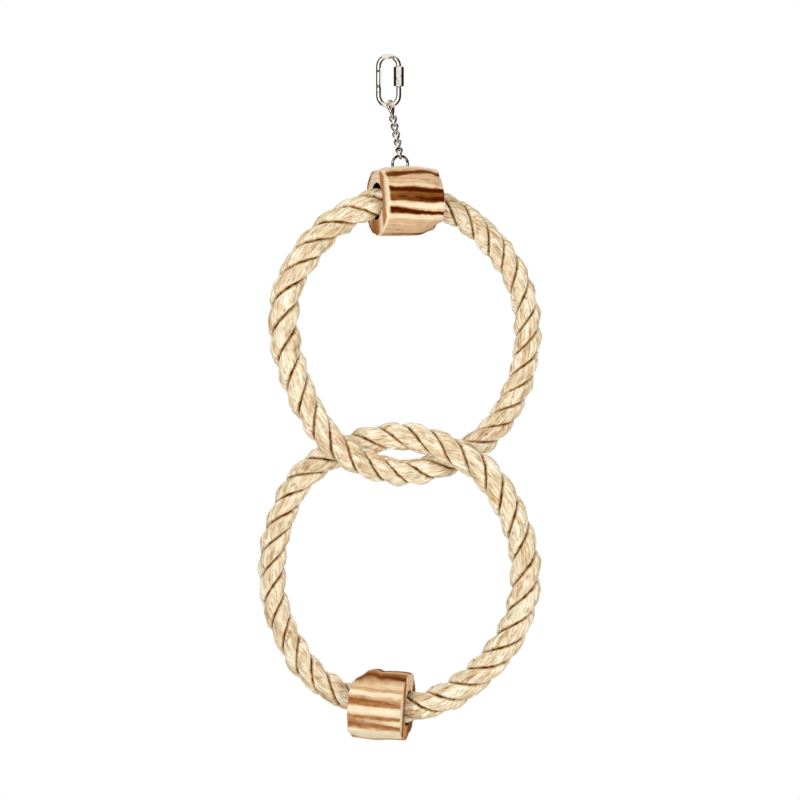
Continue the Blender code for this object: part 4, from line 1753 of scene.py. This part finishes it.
@dataclass
class Chain:
    """The end link, the five twisted links, and the staple that they hold."""

    quick: QuickLink
    lean: float = math.radians(10.8)
    gap: float = 0.3 * MM
    end_wire: float = 2.0 * MM
    end_length: float = 10.2 * MM
    end_width: float = 6.8 * MM
    end_turn: float = math.radians(60.0)
    link_wire: float = 1.5 * MM
    link_length: float = 5.9 * MM
    link_width: float = 2.8 * MM
    count: int = 5
    yaw: float = math.radians(19.0)
    staple_wire: float = 1.9 * MM
    staple_span: float = 10.9 * MM
    staple_rise: float = 7.3 * MM
    staple_leg: float = 8.0 * MM
    point: float = 0.25
    point_rows: float = 4.0
    sides: int = 16
    bend_steps: int = 20
    side_steps: int = 8
    leg_steps: int = 24

    def links(self) -> list[Link]:
        """The end link, then the small links, which turn step by step to the staple's yaw."""
        end = Link(
            name="large_end_link",
            body="end_link",
            node="chain_end_link",
            wire=self.end_wire,
            length=self.end_length,
            width=self.end_width,
            turn=self.end_turn,
            twist=QUARTER - self.end_turn,
        )
        step = self.yaw / self.count
        small = [
            Link(
                name=f"twisted_link_{index + 1}",
                body=f"link_{index + 1}",
                node=f"chain_link_{index + 1}",
                wire=self.link_wire,
                length=self.link_length,
                width=self.link_width,
                turn=index * step,
                twist=QUARTER + step,
            )
            for index in range(self.count)
        ]
        return [end, *small]

    def leaned(self, vectors: Array) -> Array:
        """Vectors of the upright chain, leaned to the right with the real one."""
        cosine, sine = math.cos(self.lean), math.sin(self.lean)
        tilt = np.array(((cosine, 0.0, -sine), (0.0, 1.0, 0.0), (sine, 0.0, cosine)))
        return vectors @ tilt.T

    def path(self, link: Link, down: float) -> tuple[Array, Array]:
        """Path of a twisted oval link whose top wire lies a distance down the chain.

        An upright oval of two half circles and two straights is turned about the chain
        by turn + twist (3h^2 - 2h^3), h from 0 at its top to 1 at its bottom.

        Args:
            link: The link.
            down: Distance of the top wire down the chain from the quick link's wire.

        Returns:
            Points and normals of the path, in the row frame.
        """
        length, half = link.length + link.wire, (link.width + link.wire) / 2
        straight = length / 2 - half
        bend = np.linspace(0.0, math.pi, self.bend_steps + 1)
        side = np.linspace(straight, -straight, self.side_steps)[1:-1]
        curve, rise = half * np.cos(bend), half * np.sin(bend)
        across, height = joined(
            (curve, straight + rise),
            (-half, side),
            (-curve, -straight - rise),
            (half, side[::-1]),
        ).T
        angle = link.turn + link.twist * ease((length / 2 - height) / length, 0.0, 1.0)
        cosine, sine = np.cos(angle), np.sin(angle)
        local = together(across * cosine, across * sine, height - length / 2 - down)
        normals = together(-sine, cosine, 0.0)
        return self.quick.crown(self.lean) + self.leaned(local), self.leaned(normals)

    def build(self) -> None:
        """Make the links from the quick link down, and the staple below them."""
        bottom, above = 0.0, self.quick.wire
        for link in self.links():
            down = bottom - (above + link.wire) / 2 - self.gap
            grid = wire(*self.path(link, down), link.wire / 2, self.sides, Ends.LOOPED)
            dress(Surface.single(link.name, grid, Ends.LOOPED), CHAIN, link.body, link.node)
            bottom, above = down + link.length + link.wire, link.wire
        down = bottom - (above + self.staple_wire) / 2 - self.gap
        crown = self.quick.crown(self.lean) + self.leaned(np.array((0.0, 0.0, -down)))
        self.add_staple(crown)

    def add_staple(self, crown: Array) -> None:
        """Make the staple: a half circle of wire with two pointed legs into the block.

        Args:
            crown: The wire's middle at the top of the arch.
        """
        half = self.staple_span / 2
        bend = np.linspace(0.0, math.pi, 2 * self.bend_steps + 1)
        leg = np.linspace(-self.staple_rise - self.staple_leg, -half, self.leg_steps)[:-1]
        local = joined(
            (half, 0.0, leg),
            (half * np.cos(bend), 0.0, half * (np.sin(bend) - 1.0)),
            (-half, 0.0, leg[::-1]),
        )
        path = crown + turned(local, self.yaw)
        normals = np.broadcast_to(turned(-FRONT, self.yaw), path.shape)
        full = ease(from_ends(len(path)), 0.0, self.point_rows)
        radius = self.staple_wire / 2 * (self.point + (1.0 - self.point) * full)
        grid = wire(path, normals, radius, self.sides, Ends.CAPPED)
        staple = Surface.single("wire_staple", grid, Ends.CAPPED)
        dress(staple, STAPLE, "upper_ring", "hanging_staple")


def upper_ring() -> RopeRing:
    """The upper ring's own sizes."""
    return RopeRing(
        which="upper",
        centre=(11.61 * MM, 1.30 * MM, -187.97 * MM),
        yaw=math.radians(19.0),
        block_station=0.0,
        lay_start=math.radians(58.9),
        lay_drift=0.08,
        thick_drift=0.06,
        waist=0.07,
        bows=(
            (245.0, -4.4 * MM, 24.0),
            (288.0, 1.4 * MM, 12.0),
            (38.0, -0.4 * MM, 14.0),
            (78.0, 1.2 * MM, 14.0),
            (182.0, 1.3 * MM, 13.0),
        ),
        seed=100,
    )


def lower_ring() -> RopeRing:
    """The lower ring's own sizes."""
    return RopeRing(
        which="lower",
        centre=(6.11 * MM, 1.30 * MM, -349.55 * MM),
        yaw=math.radians(-12.0),
        block_station=math.radians(187.5),
        lay_start=math.radians(30.9),
        lay_drift=-0.04,
        thick_drift=-0.05,
        waist=0.02,
        bows=(
            (314.0, 3.0 * MM, 16.0),
            (220.0, 1.5 * MM, 14.0),
            (90.0, 0.4 * MM, 20.0),
            (140.0, -2.0 * MM, 22.0),
            (42.0, 1.3 * MM, 12.0),
            (2.0, 0.8 * MM, 14.0),
        ),
        seed=200,
    )


def upper_block() -> LogBlock:
    """The upper block's own sizes, with the furrows that its front shows."""
    furrows = (
        Furrow(14.0, 9.0, 0.10, -0.1 * MM),
        Furrow(34.5, 5.2, 0.86, 0.5 * MM, -4.5, -0.2),
        Furrow(64.0, 4.0, 0.18, -0.1 * MM),
        Furrow(71.6, 4.8, 1.02, 0.6 * MM, 0.5),
        Furrow(80.4, 5.0, 0.72, 0.4 * MM, 0.0, 0.0, 0.05),
        Furrow(88.0, 4.2, 0.90, 0.6 * MM, 0.5, 0.2, 0.14),
        Furrow(98.0, 4.8, 0.10, -0.2 * MM, 2.0, 0.3),
        Furrow(110.2, 4.2, 1.02, 0.6 * MM, 4.0, -0.35),
        Furrow(119.0, 4.0, 0.12, -0.1 * MM, 2.0),
        Furrow(168.0, 5.0, 0.66, 0.4 * MM, -1.0, 0.1, 0.25),
        Furrow(196.0, 6.0, 0.85, 0.6 * MM, 3.0),
        Furrow(216.0, 5.0, 0.10, -0.1 * MM),
        Furrow(231.0, 8.0, 0.66, 0.5 * MM, -3.0),
        Furrow(252.0, 4.6, 0.98, 0.6 * MM, 2.0),
        Furrow(288.0, 6.5, 0.86, 0.6 * MM, 4.0),
        Furrow(304.0, 4.0, 0.08, -0.1 * MM, 2.0),
        Furrow(318.0, 5.0, 0.98, 0.6 * MM, -3.0),
        Furrow(343.0, 7.0, 0.58, 0.4 * MM, 2.0),
    )
    return LogBlock(
        which="upper",
        centre=(11.61 * MM, 1.30 * MM, -96.96 * MM),
        out=(0.0, 0.0, 1.0),
        yaw=math.radians(19.0),
        length=42.5 * MM,
        radius=23.75 * MM,
        bore=12.4 * MM,
        furrows=furrows,
        dents=(
            Dent(168.0, 34.0, 1.05, 0.46, 3.0 * MM),
            Dent(160.0, 22.0, 1.05, 0.22, 2.4 * MM),
            Dent(48.0, 24.0, 1.05, 0.30, 2.6 * MM),
            Dent(8.0, 30.0, -1.05, 0.28, 2.2 * MM),
            Dent(8.0, 34.0, 0.25, 0.6, -0.8 * MM),
            Dent(250.0, 16.0, -1.05, 0.3, 1.2 * MM),
        ),
        bands=(
            Band(0.60, -0.24, 0.20, 0.95),
            # Painted shadow under the rope: a brown patch on the lower half of each end, darkest
            # at the bottom.
            Band(-0.1, 0.0, 0.42, 0.37, -2.8),
        ),
        taper=0.9 * MM,
        seed=300,
        base_stain=0.33,
        # Painted highlight along the left end's bevel.
        wear_and_painted_light=3.4 * MM,
    )


def lower_block(ring: RopeRing) -> LogBlock:
    """The lower block's own sizes, with the furrows that its front shows.

    Args:
        ring: The lower ring, which gives the way out of it at the block.

    Returns:
        The lower block.
    """
    furrows = (
        Furrow(163.0, 25.0, 0.57, 0.4 * MM),
        Furrow(168.0, 4.0, 0.42, -0.2 * MM, 2.0),
        Furrow(152.0, 4.2, 0.82, 0.4 * MM, 3.0, 0.0, -0.1),
        Furrow(180.0, 5.0, 0.84, 0.4 * MM, -2.0, -0.3, -0.15),
        Furrow(112.0, 5.0, 0.06, -0.3 * MM, -1.0),
        Furrow(121.0, 3.2, 0.40, 0.2 * MM, 1.0),
        Furrow(105.0, 4.2, 0.36, 0.3 * MM, 0.0, 0.0, -0.2),
        Furrow(97.8, 6.0, 0.63, 0.6 * MM, 2.2, 0.3, 0.08),
        Furrow(85.0, 6.0, 0.08, -0.3 * MM),
        Furrow(64.8, 5.6, 0.30, 0.2 * MM, 0.0, 0.2, 0.8),
        Furrow(72.8, 3.6, 0.55, 0.4 * MM, 0.0, 0.1, -0.08),
        Furrow(56.0, 6.6, 0.60, 0.5 * MM, 1.5, 0.35, -0.06),
        Furrow(36.0, 12.0, 0.08, -0.2 * MM),
        Furrow(12.0, 5.0, 0.45, 0.3 * MM, -3.0),
        Furrow(218.0, 6.0, 0.82, 0.6 * MM, 4.0),
        Furrow(243.0, 9.0, 0.55, 0.4 * MM, -4.0),
        Furrow(268.0, 5.0, 0.80, 0.5 * MM, 3.0),
        Furrow(284.0, 6.0, 0.06, -0.2 * MM),
        Furrow(303.0, 8.0, 0.68, 0.5 * MM, -2.0),
        Furrow(335.0, 6.0, 0.76, 0.5 * MM, 4.0),
    )
    station = ring.block_station
    across, up = ring.height * math.sin(station), ring.width * math.cos(station)
    out = turned(unit(np.array((across, 0.0, up))), ring.yaw)
    return LogBlock(
        which="lower",
        centre=(-5.04 * MM, 3.67 * MM, -440.07 * MM),
        out=tuple(out),
        yaw=ring.yaw,
        length=38.0 * MM,
        radius=24.25 * MM,
        bore=12.1 * MM,
        furrows=furrows,
        dents=(
            *(Dent(178.0, 44.0, 1.10, reach, 1.9 * MM) for reach in (0.25, 0.45, 0.66)),
            Dent(176.0, 40.0, 0.36, 0.28, -1.8 * MM),
            Dent(180.0, 36.0, -0.5, 0.5, -0.9 * MM),
            Dent(5.0, 40.0, -1.05, 0.9, 1.8 * MM),
            Dent(20.0, 15.0, 1.05, 0.4, 1.4 * MM),
            Dent(330.0, 16.0, -1.05, 0.4, 1.5 * MM),
        ),
        bands=(
            Band(0.57, -0.10, 0.17, 1.25),
            Band(0.1, 0.0, 0.36, 0.62, 0.5),
            Band(-0.57, 0.29, 0.36, 1.5),
        ),
        # Painted shade in the bore, a little lighter on this block.
        bore_shade=0.8,
        taper=0.3 * MM,
        seed=400,
        base_stain=0.17,
        askew=math.radians(3.0),
    )


def main() -> None:
    """Build the swing on its frame, from the studio down to the lower block."""
    logging.basicConfig(level=logging.INFO, format="%(message)s")
    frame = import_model()
    Studio().build()
    upper, lower = upper_ring(), lower_ring()
    swing = Hinge.read(frame["joints"], "lower_ring_swing")
    upper.build(swing.places(lower.around()[1], 1.0))
    lower.build(swing.places(upper.around()[1], -1.0))
    for ring, block in ((upper, upper_block()), (lower, lower_block(lower))):
        Whippings(ring).build()
        block.build()
        Nails(block).build()
    quick = QuickLink()
    quick.build()
    Chain(quick).build()


if __name__ == "__main__":
    main()
